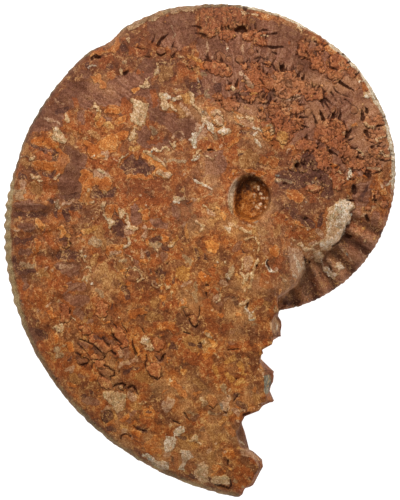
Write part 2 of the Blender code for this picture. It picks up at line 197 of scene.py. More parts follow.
RUST_PX = (
    ((36,152), (50,150), (54,156), (48,160), (36,160)), ((78,130), (85,127), (87,132), (80,133)),
    ((70,120), (73,125), (78,127), (82,124), (85,128), (80,132), (74,130), (70,126)),
    ((88,128,3), (88,118,3), (89,112,2)), ((92,162,3), (104,164,4), (116,160,4)), ((88,166,2), (96,168,2)),
    ((120,182,6), (122,192,5), (122,204,5)), ((136,186,7), (156,184,6), (160,192,5)),
    ((134,196,6), (150,202,5), (166,202,4)), ((70,213,2), (76,213,3), (79,217,2)),
    ((45,232,2), (48,240,2.5)), ((50,243,3), (56,248,3)), ((38,259,2.5), (46,261,3), (48,267,3)),
    ((56,274,3), (60,277,3)), ((54,284,4), (62,287,5)), ((95,301,3), (99,303,2.5)),
    ((99,308,3.5), (102,312,4)), ((62,307,3), (64,316,4)), ((20,282,3), (20,296,3), (26,306,3)),
    ((34,300,4), (40,306,3)), ((47,188,5), (50,194,5)),
    ((130,236), (140,234), (150,238), (152,243), (146,248), (140,250), (132,248), (128,242)),
    ((156,210), (160,209), (163,212), (165,215), (162,218), (158,216)), ((184,208,4), (186,216,5)),
    ((196,206,3), (198,214,4)), ((170,226), (173,222), (178,225), (179,230), (175,233), (171,231)),
    ((130,253,3), (138,256,4)), ((154,256,3), (158,262,4), (152,266,3)), ((174,254,3), (180,256,3)),
    ((150,272,3), (154,275,2.5)), ((212,270,3), (216,278,4)), ((210,290,3), (216,292,2)), ((143,303,4),),
    ((165,306,5), (174,304,5)), ((207,303,4),), ((136,296,5), (146,294,4)), ((208,322,4), (214,328,5)),
    ((226,328,4), (230,326,3)), ((156,326,4), (176,328,4)), ((174,338,3), (180,342,5)),
    ((188,356,6), (206,362,7)), ((232,348,3), (248,344,4)), ((210,374,5), (204,372,4)), ((157,414,3),),
    ((148,424,4), (143,420,3)), ((200,426,4), (194,422,2)),
    ((170,452), (178,452), (178,466), (172,468), (168,462)), ((192,460,4), (190,470,4)), ((154,444,3),),
    ((104,404,3),), ((92,354,3), (100,356,3)), ((58,364,4), (60,372,4)), ((106,384,4),), ((40,345,5),),
    ((46,350,4),), ((102,64,4), (110,58,4)), ((110,76,3), (114,72,3)), ((76,104,3), (74,98,2)),
    ((132,50,4), (144,52,4)), ((140,72,3),), ((86,114,3), (92,120,4)), ((182,66,5), (186,72,4)),
    ((190,76,3),), ((206,106,4), (214,110,4)), ((220,102,4), (232,104,5)),
    ((124,102,4), (128,112,4), (122,122,4)), ((154,92,3), (154,104,3)), ((170,162,3), (174,166,2.5)),
    ((150,142,4), (160,138,5)), ((202,143,4), (211,147,4)), ((222,142,4), (234,142,5)),
    ((230,156,4), (236,148,4)), ((258,124,4), (264,126,2)), ((300,122,3), (296,128,3)),
    ((304,144,4), (308,143,3)), ((332,174,4), (340,178,4), (338,186,4)), ((284,220,4), (276,217,4)),
    ((290,234,4), (302,236,4)),
    ((262,272), (272,270), (282,274), (282,282), (274,290), (266,288), (258,282)),
    ((280,258,5), (278,266,4)), ((262,302,4), (256,304,3)), ((352,224,4),), ((374,204,3),),
    ((340,276,4), (334,282,3)), ((320,284,4), (326,286,4)), ((266,342,3), (268,344,2)), ((270,370,3),),
    ((240,472,6), (250,476,5)), ((236,490,4), (242,492,4)), ((252,462,4),), ((264,84,4), (268,90,4)),
    ((246,158,4), (270,158,5)), ((316,188,4), (312,200,3)),
)
ORANGE_PX = (
    ((30,141), (38,137), (50,136), (53,141), (58,146), (63,151), (68,155), (69,161), (66,167), (63,173),
     (58,176), (53,171), (46,170), (38,171), (31,169), (31,161), (40,160), (50,162), (56,160), (58,154),
     (54,149), (46,147), (38,146), (32,146)),
    ((80,172), (85,169), (91,171), (93,177), (100,178), (106,176), (110,179), (113,184), (109,188),
     (107,193), (102,191), (98,186), (93,186), (86,187), (92,192), (84,204), (79,200), (81,192), (82,184),
     (79,180)),
    ((83,139), (88,142), (95,144), (99,139), (105,138), (109,134), (116,133), (121,131), (128,131),
     (128,138), (121,141), (118,147), (117,151), (111,153), (107,158), (98,157), (95,160), (90,157),
     (88,151), (84,146)), ((108,111,3), (118,111,3)), ((98,125,3), (103,120,3)), ((118,122,3), (124,118,3)),
    ((105,205), (112,203), (119,206), (121,212), (115,212), (112,217), (107,219), (104,213)),
    ((34,239), (42,239), (43,244), (40,248), (37,254), (33,256), (31,250), (35,246)),
    ((106,246), (112,244), (118,243), (124,247), (124,256), (118,256), (112,254), (108,256), (104,252)),
    ((50,313,4), (54,317,3)), ((146,241,2), (149,244,2)),
    ((138,212), (140,209), (147,208), (150,210), (148,215), (149,219), (146,222), (142,220), (143,215),
     (140,213)), ((162,237,3), (166,240,3)), ((142,261,3), (145,262,3)), ((128,284,2.5),), ((157,281,3),),
    ((168,282,2.5), (168,287,2)), ((202,275,3), (206,279,3)), ((183,303,4),), ((133,314,5), (140,312,4)),
    ((128,177,2.4), (140,177,2.4), (150,177,3)), ((160,327,4), (172,326,4)),
    ((175,384,4), (182,392,4), (184,396,3)), ((207,396), (216,396), (218,402), (213,409), (209,405)),
    ((146,412,4), (152,413,4), (150,408,2)), ((156,440,5), (150,446,5)), ((158,452,4), (150,452,3)),
    ((127,417,3), (122,420,2.5)), ((134,432,2), (138,434,3)), ((64,344), (72,342), (76,352), (68,352)),
    ((56,337,3), (57,342,2)), ((70,384,3), (75,386,2)), ((98,378,3), (92,380,2.5)), ((84,408,2),),
    ((216,468,4),), ((228,428,3), (234,434,3)),
    ((106,50), (113,45), (114,39), (119,38), (120,46), (116,54), (108,52), (98,54), (90,56), (88,52),
     (100,48)), ((91,78), (95,73), (100,73), (102,78), (98,83), (93,82)),
    ((100,80), (107,83), (106,88), (101,88), (99,84)),
    ((196,58), (206,62), (214,66), (210,70), (200,68), (192,64)), ((216,96,2.5), (221,97,2.5)),
    ((246,94,2), (252,100,2)), ((262,160,4), (274,162,5)), ((248,171,3), (262,174,3)),
    ((293,166,2.5), (291,169,2)), ((234,172,3), (230,178,2)),
    ((286,188), (294,186), (300,192), (306,198), (300,204), (292,200), (286,196)), ((300,196,4),),
    ((306,182), (314,178), (322,180), (324,188), (314,192), (308,190)), ((298,222,3), (304,225,3)),
    ((270,246), (276,244), (280,250), (276,258), (270,254)), ((372,190), (378,192), (376,200), (372,200)),
    ((382,206,3), (384,212,2)), ((384,192,3),), ((362,228,3), (358,232,2)),
    ((352,231,1), (358,233,1.2), (361,238,1)), ((266,400), (270,392), (273,396), (272,402)),
    ((226,453,4), (232,455,4)), ((330,164,3), (336,168,4)), ((262,134,2), (268,140,2)),
    ((236,140,3), (230,144,3)), ((212,350,4), (206,356,3)),
)
TAN_PX = (
    ((24,146,4), (27,154,4)), ((22,160,3), (28,164,4)), ((33,184,3), (36,190,5), (37,196,3)),
    ((70,135,1.5), (71,140,2.5), (73,144,1.5)), ((86,226,2),), ((82,243,2),), ((96,232,4), (102,238,3)),
    ((100,226,3), (104,246,3)), ((38,273,3), (44,272,4)), ((96,256,3), (92,264,3)),
    ((104,268,4), (98,278,4)), ((112,274,4), (106,286,5)), ((118,262,3), (122,272,3)),
    ((91,132,3), (96,135,3.5), (98,139,2)), ((148,316,4), (160,318,3)), ((155,302,4), (156,306,3)),
    ((184,311,2.5), (187,309,2.5)), ((120,278,3), (124,284,3)),
    ((180,338), (192,336), (204,338), (210,336), (214,342), (206,350), (196,352), (186,348)),
    ((140,376,5), (150,380,4)), ((134,404,4), (140,409,3)),
    ((180,436), (190,434), (200,442), (196,452), (184,452), (178,444)), ((212,462,5), (210,456,4)),
    ((138,418,2.5),), ((72,376,4), (76,381,4)), ((52,356,3),), ((86,318,4), (92,315,3)),
    ((172,106,4), (182,112,4)), ((194,68,2), (198,73,2)),
    ((236,150), (250,150), (262,156), (256,168), (240,166)), ((273,204,2),), ((260,210,4), (268,206,3)),
    ((286,276,4), (286,286,4)), ((268,304,2.5),), ((362,208,2), (368,210,3), (366,213,2)),
    ((258,400,4), (254,396,3)), ((134,140,3), (133,130,3)), ((200,252,4), (196,250,3)),
    ((212,222,4), (218,216,4), (214,206,4)), ((160,66), (170,66), (172,78), (164,82), (158,78)),
    ((210,430,4), (214,440,4)), ((222,436,4), (216,446,4)), ((196,382,4), (204,386,4)),
    ((264,232,4), (254,230,3)), ((276,232,4),),
)
YELLOW_PX = (
    ((99,113,3), (97,118,3)), ((106,124,3), (112,127,2.5)), ((66,235,2), (70,236,2)),
    ((67,242,1), (69,245,1), (66,248,1)),
    ((182,265), (190,268), (190,277), (187,282), (180,281), (175,277), (176,268)),
    ((179,234), (179,240), (176,244), (170,247), (168,246), (172,241), (174,237), (177,233)),
    ((276,133), (284,131), (289,133), (288,140), (284,144), (282,149), (278,142)),
    ((180,94), (186,94), (190,91), (192,98), (192,104), (186,104), (182,100)),
    ((184,54), (190,54), (198,58), (202,61), (196,62), (188,59)), ((57,147,2.5),),
    ((131,149,3), (138,148,3)), ((226,362,2), (234,358,3)), ((240,364,3), (244,374,2)),
    ((226,374,2.5), (232,380,3)), ((238,384,2), (242,380,3)), ((214,366,2), (218,374,2)),
    ((252,94,2), (256,93,2)), ((260,353,1.8), (262,362,1.5)), ((168,448,2), (170,451,1.5)),
    ((118,400,3), (123,408,3)), ((122,427,2.5), (126,428,2)), ((166,172,2), (170,176,2)),
    ((115,412,1.5), (116,418,2)), ((147,344,3), (152,347,2)), ((84,232,3), (96,228,2)),
    ((188,440,2), (194,446,3)), ((364,228,2),),
)
BRIGHT_PX = (
    ((100,141), (109,135), (117,135), (118,146), (115,150), (106,150), (100,148)),
    ((86,187), (92,184), (92,190), (89,196), (93,200), (93,205), (87,206), (84,202), (86,194)),
    ((35,218), (40,219), (45,224), (46,228), (42,231), (38,228), (36,223)),
    ((58,229,1.5), (61,227,2.5), (64,232,3), (61,237,1.5)),
    ((142,152), (148,154), (154,158), (160,162), (166,168), (172,176), (168,179), (158,178), (152,174),
     (156,167), (148,162), (141,156)), ((221,214,2), (224,218,2)), ((185,230,1.2), (187,225,1.2)),
    ((187,236,1.5), (186,232,1.5)), ((122,272,2), (127,270,1.5)),
    ((206,241), (212,240), (219,245), (219,249), (213,253), (208,251), (205,247)),
    ((163,298,3), (160,296,2)), ((211,341,3), (215,345,3)), ((206,332,3), (212,336,2)),
    ((136,350,3), (138,354,2)), ((184,372,3),), ((195,394,2), (200,392,2)), ((220,424,2), (226,418,2)),
    ((240,370,2),),
    ((232,108), (238,112), (244,116), (252,120), (254,127), (248,129), (240,126), (234,120)),
    ((262,128), (268,124), (272,123), (274,130), (275,136), (272,141), (267,139), (262,134)),
    ((205,106), (214,107), (222,113), (227,124), (222,129), (214,124), (208,114)),
    ((133,91,2.5), (138,89,2)), ((281,276,2),), ((118,248,3), (122,246,2)), ((190,58,2),),
)
PINKISH_PX = (
    ((161,402), (167,399), (174,402), (172,408), (166,414), (162,409)),
    ((219,403), (224,400), (231,404), (229,411), (222,411)), ((20,181,2), (24,184,3), (22,188,2)),
    ((103,153,2), (108,152,2), (106,158,2)), ((62,206,1), (65,202,1.4), (70,203,0.9), (74,201,1.4)),
    ((96,168), (101,169), (107,172), (112,177), (106,176), (100,178), (94,176), (93,172)),
    ((14,232,0.8), (20,230,1)), ((60,267,1.5), (72,266,2)), ((112,253,2), (120,252,2)),
    ((37,311,0.8), (43,309,0.8), (49,305,0.9), (52,301,0.8)),
    ((125,224), (130,230), (136,231), (134,234), (128,236), (124,232)),
    ((142,229,1.2), (145,226,2), (147,230,1.6), (144,236,2)), ((192,200,1.5), (196,199,1)),
    ((142,250,1.8), (142,256,1.8)), ((184,284,2), (190,282,1.5)), ((222,282,2.5), (226,284,2)),
    ((217,297,3), (214,301,2)), ((222,301,0.8), (228,299,0.8), (232,302,0.8)), ((121,352,3), (120,356,2)),
    ((120,366,2), (136,360,2)), ((228,396,2), (228,404,2)), ((120,387,2.5),), ((130,394,3), (134,398,3)),
    ((169,398,1.5), (173,402,2)), ((166,455,2.5), (169,453,2)), ((124,430,3),),
    ((101,413,1), (104,409,1), (109,407,1)), ((66,370,2), (74,367,2), (70,373,1.5)),
    ((290,148,1), (286,154,1)), ((288,100,2), (298,97,2)), ((44,119,1), (60,123,1.2)),
    ((56,101,0.8), (66,104,1.2)), ((241,72,1.4), (245,76,1.2), (250,83,2)), ((208,42,1), (208,50,0.9)),
    ((226,44,1.5), (227,50,1)), ((243,42,1), (243,54,1.2)), ((212,50,0.8), (212,60,0.8)),
    ((232,211,0.8), (236,217,0.9), (243,222,1.1), (250,226,1), (256,228,0.8)), ((249,260,4), (247,268,3)),
    ((288,246), (300,250), (304,256), (302,264), (307,270), (308,273), (302,277), (294,280), (291,274),
     (291,264), (288,256)), ((334,203), (342,200), (348,204), (346,210), (338,210), (333,208)),
    ((343,250,0.8), (352,260,0.9)), ((360,250,0.8), (366,258,0.8)),
    ((272,318), (276,317), (280,322), (280,334), (276,336), (271,332), (270,324)),
    ((262,370,0.8), (264,376,0.8)), ((260,404,2), (259,409,1.5)), ((234,410,3), (238,414,2)),
    ((240,449), (250,449), (256,454), (260,460), (250,458), (242,456)),
    ((198,460), (204,462), (208,468), (208,476), (203,481), (198,480), (194,474), (196,468)),
    ((196,122), (200,124), (208,130), (206,136), (200,140), (196,142), (192,144), (188,141), (190,137),
     (195,132)), ((206,120,2.5), (208,118,2)), ((172,138,1.5), (176,132,1.5), (182,132,1), (184,137,1)),
    ((180,104,2), (186,110,2), (194,118,1.6)), ((240,120), (248,118), (254,122), (254,128), (246,128)),
    ((214,112,3), (220,120,4)), ((197,158,3), (192,161,1.5)), ((208,210,2), (214,215,1.5)),
    ((236,226,2), (230,224,2)), ((242,122,2.5),), ((310,244,1.5), (316,242,2)), ((318,230,3), (322,236,2)),
)
GREY_PX = (
    ((14,192,3), (20,196,5), (22,192,4)), ((92,240,4), (98,243,4)), ((22,264,2.5), (30,266,3)),
    ((97,291,2.5), (103,295,3)), ((153,244,2.5), (158,245,3), (155,250,1.5)),
    ((120,260,2.5), (125,262,2.5)), ((184,256,3), (190,261,3)), ((196,284,2), (194,294,2.5), (196,302,2)),
    ((57,202,2.5), (57,208,2)), ((203,342,2.5),), ((203,404,3), (206,403,2)), ((210,412,2), (216,414,2.5)),
    ((223,386,3), (226,392,2)), ((219,401), (224,399), (227,404), (225,410), (220,409)),
    ((163,400), (168,400), (172,406), (168,413), (164,410), (162,405)), ((187,412,1.6), (196,414,1.6)),
    ((211,478), (216,475), (224,476), (230,478), (229,484), (222,484), (214,482)),
    ((56,348,3), (58,356,3), (62,354,2.5)), ((276,180,1.5), (284,180,1.5), (290,182,1.5)),
    ((203,74,2.5), (206,75,1.5)), ((206,94,2), (210,98,1.5)), ((246,312,3), (252,314,3)),
    ((275,308,2), (276,312,2)), ((236,481,3),), ((332,213,2.5), (330,218,2)), ((331,223,2), (335,224,1.5)),
    ((329,231,2), (334,234,1.5)), ((202,111,2), (206,114,2.5)), ((152,128,2), (155,132,3.5)),
    ((212,131), (218,132), (218,139), (213,138)), ((172,26,1), (174,36,1)), ((165,160,1.5), (185,161,2)),
    ((181,452,2), (186,456,3)), ((246,82,2), (252,86,2)), ((370,168,1.5), (378,168,2)),
)
CREAM_PX = (
    ((366,124,1.6), (374,128,1.4)), ((376,140,1.2), (386,136,1.2)), ((380,152,1.4), (388,156,1.4)),
    ((358,150,1.2), (364,154,1)), ((300,244,1.6), (306,250,1.6), (312,250,1.6)),
    ((163,96,3.6), (165,106,4)), ((173,99,2), (180,98,2)), ((176,112,1.6), (172,106,1)),
    ((144,151,1.5), (150,154,2), (156,158,2), (161,161,1.6), (166,166,1.2)),
    ((160,173,3), (166,175,3), (171,176,1.5)), ((212,115,1), (216,112,1.6), (222,114,1.5), (224,122,1.2)),
    ((214,120,1.3), (220,124,1.5), (224,128,1)),
    ((231,110,0.8), (238,116,1.2), (246,117,1.5), (252,120,1.3)), ((236,122,1), (244,127,1.4)),
    ((265,126,1), (271,126,1.6), (273,134,1)), ((200,150,1), (190,160,1)), ((206,156,1.4), (214,160,1.2)),
    ((196,464), (203,461), (209,468), (207,476), (210,481), (202,483), (195,475)),
    ((211,479), (217,475), (229,476), (231,482), (222,486), (214,484)),
    ((334,203), (340,199), (346,198), (350,202), (354,203), (356,207), (351,210), (349,213), (351,217),
     (349,221), (346,224), (344,230), (343,236), (340,241), (335,243), (332,245), (332,250), (328,253),
     (322,251), (320,246), (320,240), (324,238), (327,232), (326,224), (325,218), (329,212), (331,207)),
    ((312,250), (320,250), (323,256), (320,260), (322,264), (326,268), (330,271), (334,272), (338,274),
     (334,278), (329,278), (325,272), (320,264), (316,261), (313,256)),
    ((336,263), (340,262), (344,265), (343,269), (338,270), (336,267)),
    ((245,240,1), (250,237,1), (255,237,1), (259,243,1), (257,250,0.8)),
    ((257,256,1), (258,261,1.2), (254,268,1.2), (252,278,1), (250,288,1)),
    ((244,258,1), (242,265,1), (241,272,1), (245,276,2)), ((248,274,2), (243,284,1)),
    ((234,263), (232,266), (229,267), (227,272), (224,277), (228,280), (232,276), (235,272), (234,268)),
    ((21,156,0.8), (27,157,0.9), (33,158,0.9)), ((53,181,0.9), (57,177,1.2), (59,174,0.9)),
    ((30,176,1), (36,178,1.2), (40,176,0.9)), ((38,181,1), (41,182,1)),
    ((52,127), (55,128), (60,128), (63,133), (66,139), (65,145), (61,142), (58,142), (53,139), (52,133)),
    ((64,115), (66,112), (69,116), (70,121), (67,123), (65,119)),
    ((93,108,0.8), (95,103,1.1), (97,106,1), (98,110,1.8), (101,112,1)), ((99,170,1.5), (104,173,2)),
    ((102,206,1.6), (105,203,1.8)), ((102,209,0.8), (103,214,0.9), (107,219,1)),
    ((119,208,0.8), (123,213,1.4), (121,217,1.6)), ((110,221,2.4), (113,223,2), (110,227,1.5)),
    ((90,188,1.2), (88,192,0.8)), ((88,203,1.5), (91,202,1.5)),
    ((84,270,0.9), (87,266,1), (91,268,0.9), (92,272,0.9)), ((82,280,1), (84,276,1), (88,277,1.4)),
    ((80,251,0.7), (82,256,0.7), (86,262,0.8)),
    ((53,328), (56,326), (60,324), (63,325), (64,329), (61,331), (57,331)),
    ((70,316,0.6), (74,318,0.8), (76,322,0.7)), ((126,214,1.4), (127,221,2), (129,227,2)),
    ((129,227,1.5), (134,229,1.5), (138,227,1)), ((127,237,1), (130,242,1.8), (127,246,1.6), (124,248,1.4)),
    ((150,229,1), (154,230,1.2), (156,229,1)), ((204,206,1.5), (208,209,1)),
    ((179,240,0.8), (174,244,0.9), (168,247,0.8)), ((127,254,0.7), (129,257,0.8), (133,259,0.7)),
    ((128,269,0.8), (134,267,0.9), (139,272,0.9), (142,279,1), (138,282,0.8)),
    ((153,285,0.7), (157,288,0.8), (161,284,0.7)), ((164,284,0.8), (168,289,0.9), (172,285,0.9)),
    ((155,249,0.8), (158,252,1)), ((216,303,0.8), (220,299,0.8), (220,294,0.7)),
    ((171,292,0.8), (172,297,1)),
    ((141,337), (146,335), (149,338), (151,343), (155,347), (152,351), (148,350), (143,344)),
    ((214,353,0.8), (219,357,0.8)), ((208,334,2), (212,338,1.5)), ((201,398,1.8), (204,400,1.5)),
    ((140,402,0.9), (144,402,1), (145,404,0.7)),
    ((103,394), (108,391), (116,393), (122,392), (126,396), (125,404), (127,408), (122,412), (118,416),
     (116,410), (110,404), (105,399)), ((190,440,1.5), (197,437,2), (200,444,1.2)),
    ((131,100), (136,99), (140,101), (146,103), (149,106), (148,112), (146,118), (145,124), (141,127),
     (136,124), (131,120), (130,114), (134,108)), ((135,128,2), (133,134,2.6), (131,141,1.6)),
    ((131,99,1), (136,101,1.8)), ((190,92,2), (194,104,1.6), (200,112,1.6), (205,120,1.8), (210,128,1.6)),
    ((170,142,1), (174,146,1.4), (176,141,1)),
    ((150,152,1), (154,150,1.6), (160,149,1.2), (165,148,1.3), (170,150,1)),
    ((162,172,2), (168,177,1.5), (172,174,0.8)), ((117,165,0.8), (121,160,1), (126,155,1.2), (129,153,0.8)),
    ((176,198,2), (183,199,3)), ((222,132,2), (230,131,2)), ((158,64,1.5), (157,70,2), (155,74,1.5)),
    ((160,62,0.7), (168,62,0.7)), ((150,76,0.8), (147,80,1.1), (145,86,1.6), (142,87,1.2)),
    ((145,86,1), (149,87,1.2)), ((121,70,1.5), (122,74,1.6)), ((128,40,2),), ((180,57,1), (182,57,0.8)),
    ((262,36,1.1), (267,36,1.3)), ((232,89,1.5), (234,87,1)),
    ((238,306,1), (242,304,2), (246,302,2), (248,299,1)), ((252,318,0.8), (256,319,1)),
    ((312,246,1.4), (318,242,1.6)), ((282,277,1), (286,282,1)),
    ((129,27,2.6), (140,22,3), (150,18.5,2.8), (160,14,3)),
    ((172,11,2.4), (182,9,3), (192,8,3), (201,6,2.4)), ((242,12,1), (250,13,1.6), (258,15,1.2)),
    ((298,26,1.4), (302,30,1.2)), ((348,66,1.2),), ((363,96), (368,90), (372,91), (375,99)),
    ((377,106,1.2), (381,113,1.2)), ((390,140,1.2), (393,150,1.6), (394,160,1.4)),
    ((391,174,1), (394,178,1.2)), ((240,228,2), (250,232,1.5)), ((196,222,1.5), (204,226,1.5), (200,232,1)),
)
CALCITE_PX = (
    ((322,244,2), (327,249,2.4)), ((318,254,2), (321,258,1.6)), ((325,268,1.6), (331,274,2.2)),
    ((338,264,2), (342,267,2)),
    ((335,204), (346,200), (353,205), (349,212), (348,220), (341,230), (335,226), (338,213)),
    ((344,226,2.4), (338,236,3), (328,244,2.6)), ((166,94,2), (169,98,1)),
    ((292,252,1), (297,262,1.6), (300,270,2)), ((173,434), (177,426), (184,427), (185,433), (179,437)),
    ((165,436), (174,436), (177,441), (172,450), (167,453), (164,446)),
    ((180,450), (190,451), (193,457), (186,464), (184,471), (179,470), (182,460)),
    ((142,453), (149,454), (157,459), (168,463), (168,471), (158,468), (149,462)),
    ((246,308,1.5), (250,316,1.5)), ((256,309,0.8), (252,312,1)), ((145,338,1.2), (149,342,1)),
    ((340,201,1.2), (346,200,1.5), (352,205,1.5)),
    ((350,214,1.5), (347,224,2), (342,234,1.6), (334,243,1.6), (326,246,1.2)),
    ((336,206,1), (332,220,0.8), (328,236,1)), ((321,262,1.2), (325,270,1.6), (330,276,1.8)),
    ((338,266,1.5), (342,266,1)), ((304,258,1), (304,270,1.4)), ((56,129,1.4), (58,130,1)), ((54,203,1.5),),
    ((87,280,1), (88,281,0.7)), ((92,283,1.4),), ((129,242,0.9), (126,247,1)),
    ((178,202,1.6), (174,202,0.8)), ((205,121), (211,122), (214,128), (213,134), (209,130)),
    ((204,123,1.4), (200,130,1.2), (197,134,2)), ((196,133,2.4), (193,140,2.4), (195,148,1.5)),
    ((192,139,2), (188,140,1)), ((190,159,1), (196,160,1.4), (199,156,1)),
    ((219,132,1.5), (225,130,2), (230,130,1)), ((193,179,0.8), (197,181,1.2), (203,185,1.3), (212,189,1)),
    ((174,98,1.6), (176,100,1)), ((224,130,1.2), (227,132,1.6)),
    ((253,127,0.8), (257,129,1.2), (261,131,0.8)), ((254,135,1.2), (257,133,0.8)),
    ((254,139,1.3), (258,143,1.6), (261,148,1)), ((88,69,0.8), (92,66,1.8), (95,65,1)),
    ((197,79,1), (200,82,1)), ((226,228,1.6), (230,229,1)),
    ((267,260,0.6), (266,264,0.8), (269,270,0.9), (275,272,0.8)), ((293,274,1), (296,277,0.8)),
    ((350,168,1), (350,176,1.5), (348,179,1)), ((387,185,1.2), (390,181,1.4), (394,178,1)),
    ((275,322), (278,325), (277,331), (275,329)), ((239,440,0.8), (244,446,0.9)),
    ((178,428,1.5), (182,429,1.2)), ((144,455,1.4),), ((172,438,1.5),), ((304,26,1), (298,24,1)),
    ((389,147,2), (394,143,2)), ((366,96,1.5), (372,93,1.8)), ((361,82,1.5), (365,79,1.2)),
    ((331,271,1.5), (334,275,1.5)), ((227,274,1.4), (229,278,1)), ((340,264,1.5),),
)
SLATE_PX = (
    ((203,112,1.1),), ((172,98,0.8), (171,101,0.6)), ((215,138,0.8),),
    ((264,376), (270,374), (271,384), (269,392), (266,396), (264,390)), ((149,459,1.4), (154,460,1.2)),
    ((252,222,1), (258,221,0.9)), ((249,320,1), (254,320,1)), ((152,152,1.4),), ((173,97,1),),
    ((276,176,1), (283,176,0.8)), ((221,404,1.6), (222,408,1.4)), ((346,252,1), (348,257,0.8)),
)
MAUVE_PX = (
    ((98,84), (112,87), (116,76), (134,70), (150,66), (154,78), (142,84), (136,96), (124,102), (104,106),
     (94,104), (88,112), (78,104), (66,112), (54,102), (62,90), (80,92)),
    ((147,98), (158,98), (160,110), (172,113), (180,117), (192,116), (197,122), (195,132), (190,138),
     (182,140), (172,133), (162,124), (150,120), (147,108)),
    ((138,130), (146,126), (150,132), (150,140), (160,136), (171,140), (171,147), (160,147), (146,149),
     (140,144), (136,136)), ((58,152), (70,148), (88,155), (84,176), (82,198), (60,200), (57,178)),
    ((105,118,2), (108,120,2.5)), ((120,114,2), (122,116,1.5)),
    ((14,202), (30,201), (40,204), (50,208), (40,211), (16,210)), ((20,226,3), (30,228,4)),
    ((22,252,3.5), (30,252,3)), ((110,80), (130,74), (132,92), (122,106), (104,104), (102,92)),
    ((66,80), (80,82), (96,84), (98,98), (80,98), (66,90)), ((80,70), (90,70), (92,78), (84,80)),
    ((34,108), (62,100), (64,126), (50,130), (28,134)), ((142,60), (156,58), (156,72), (146,76), (138,70)),
    ((80,112,3), (83,122,3)),
    ((198,38), (216,38), (222,42), (234,40), (242,38), (250,42), (262,48), (266,56), (256,58), (244,62),
     (232,60), (226,62), (216,66), (208,58), (198,54)),
    ((258,42), (276,40), (296,44), (300,60), (296,72), (284,68), (272,60)),
    ((290,60), (308,60), (320,72), (316,80), (306,78), (296,78), (290,72)),
    ((328,88), (340,86), (352,92), (360,100), (356,112), (344,114), (332,108), (326,98)),
    ((300,104), (320,106), (340,112), (338,118), (322,117), (306,124), (298,116)),
    ((340,112), (356,108), (364,118), (362,130), (350,138), (346,128), (340,120)),
    ((350,136), (362,128), (370,140), (368,150), (358,156), (352,146)),
    ((332,150), (340,148), (340,164), (332,166)), ((294,130), (312,128), (314,138), (298,138)),
    ((250,16), (290,26), (304,38), (280,42), (262,32), (250,26)),
    ((360,98), (374,102), (374,112), (364,110)), ((304,98), (320,100), (320,120), (306,118)),
    ((133,78), (152,76), (150,86), (158,84), (160,90), (152,98), (136,96)), ((138,136,4), (146,144,4)),
    ((142,160,2), (146,167,3)),
    ((352,190), (356,184), (370,180), (370,200), (366,208), (358,206), (352,200)),
    ((350,210), (360,208), (362,218), (354,218)), ((204,152), (222,150), (228,166), (220,176), (206,174)),
    ((130,206), (136,202), (140,212), (142,222), (134,226), (130,218)),
    ((150,216), (160,220), (168,222), (166,230), (156,228), (150,224)), ((174,206,3), (176,216,4)),
    ((54,264), (66,262), (80,264), (80,275), (66,276), (58,270)), ((70,286,4), (82,287,4)),
    ((62,296), (86,294), (90,300), (82,308), (72,306)), ((24,280,3), (25,288,3)),
    ((160,262,3), (164,260,2)), ((163,254,2.5), (166,257,2)), ((78,341), (90,344), (88,350), (80,346)),
    ((76,356), (86,359), (86,364), (78,363)), ((86,400,4), (96,402,4)),
    ((100,370), (108,372), (108,376), (102,375)), ((136,410,2), (132,414,2)),
    ((146,20), (170,14), (196,12), (196,40), (176,52), (150,40)), ((26,330), (40,326), (44,340), (34,346)),
    ((252,280), (264,278), (262,290), (252,290)), ((118,340), (128,338), (130,356), (124,362)),
    ((300,56), (310,54), (314,70), (304,74)), ((322,140,4), (330,146,4)), ((330,108,4),),
    ((226,96,4), (232,92,3)), ((318,266,3), (322,270,2)), ((309,272,1.5), (310,280,1.5)),
    ((376,214,4), (374,222,4)), ((350,240), (370,236), (376,244), (360,262), (346,256)),
    ((234,420), (242,418), (246,444), (240,446), (236,434)), ((294,212,4),), ((78,312,4), (90,322,3)),
    ((240,244,3), (234,250,3)), ((104,340,3), (112,342,3)),
)
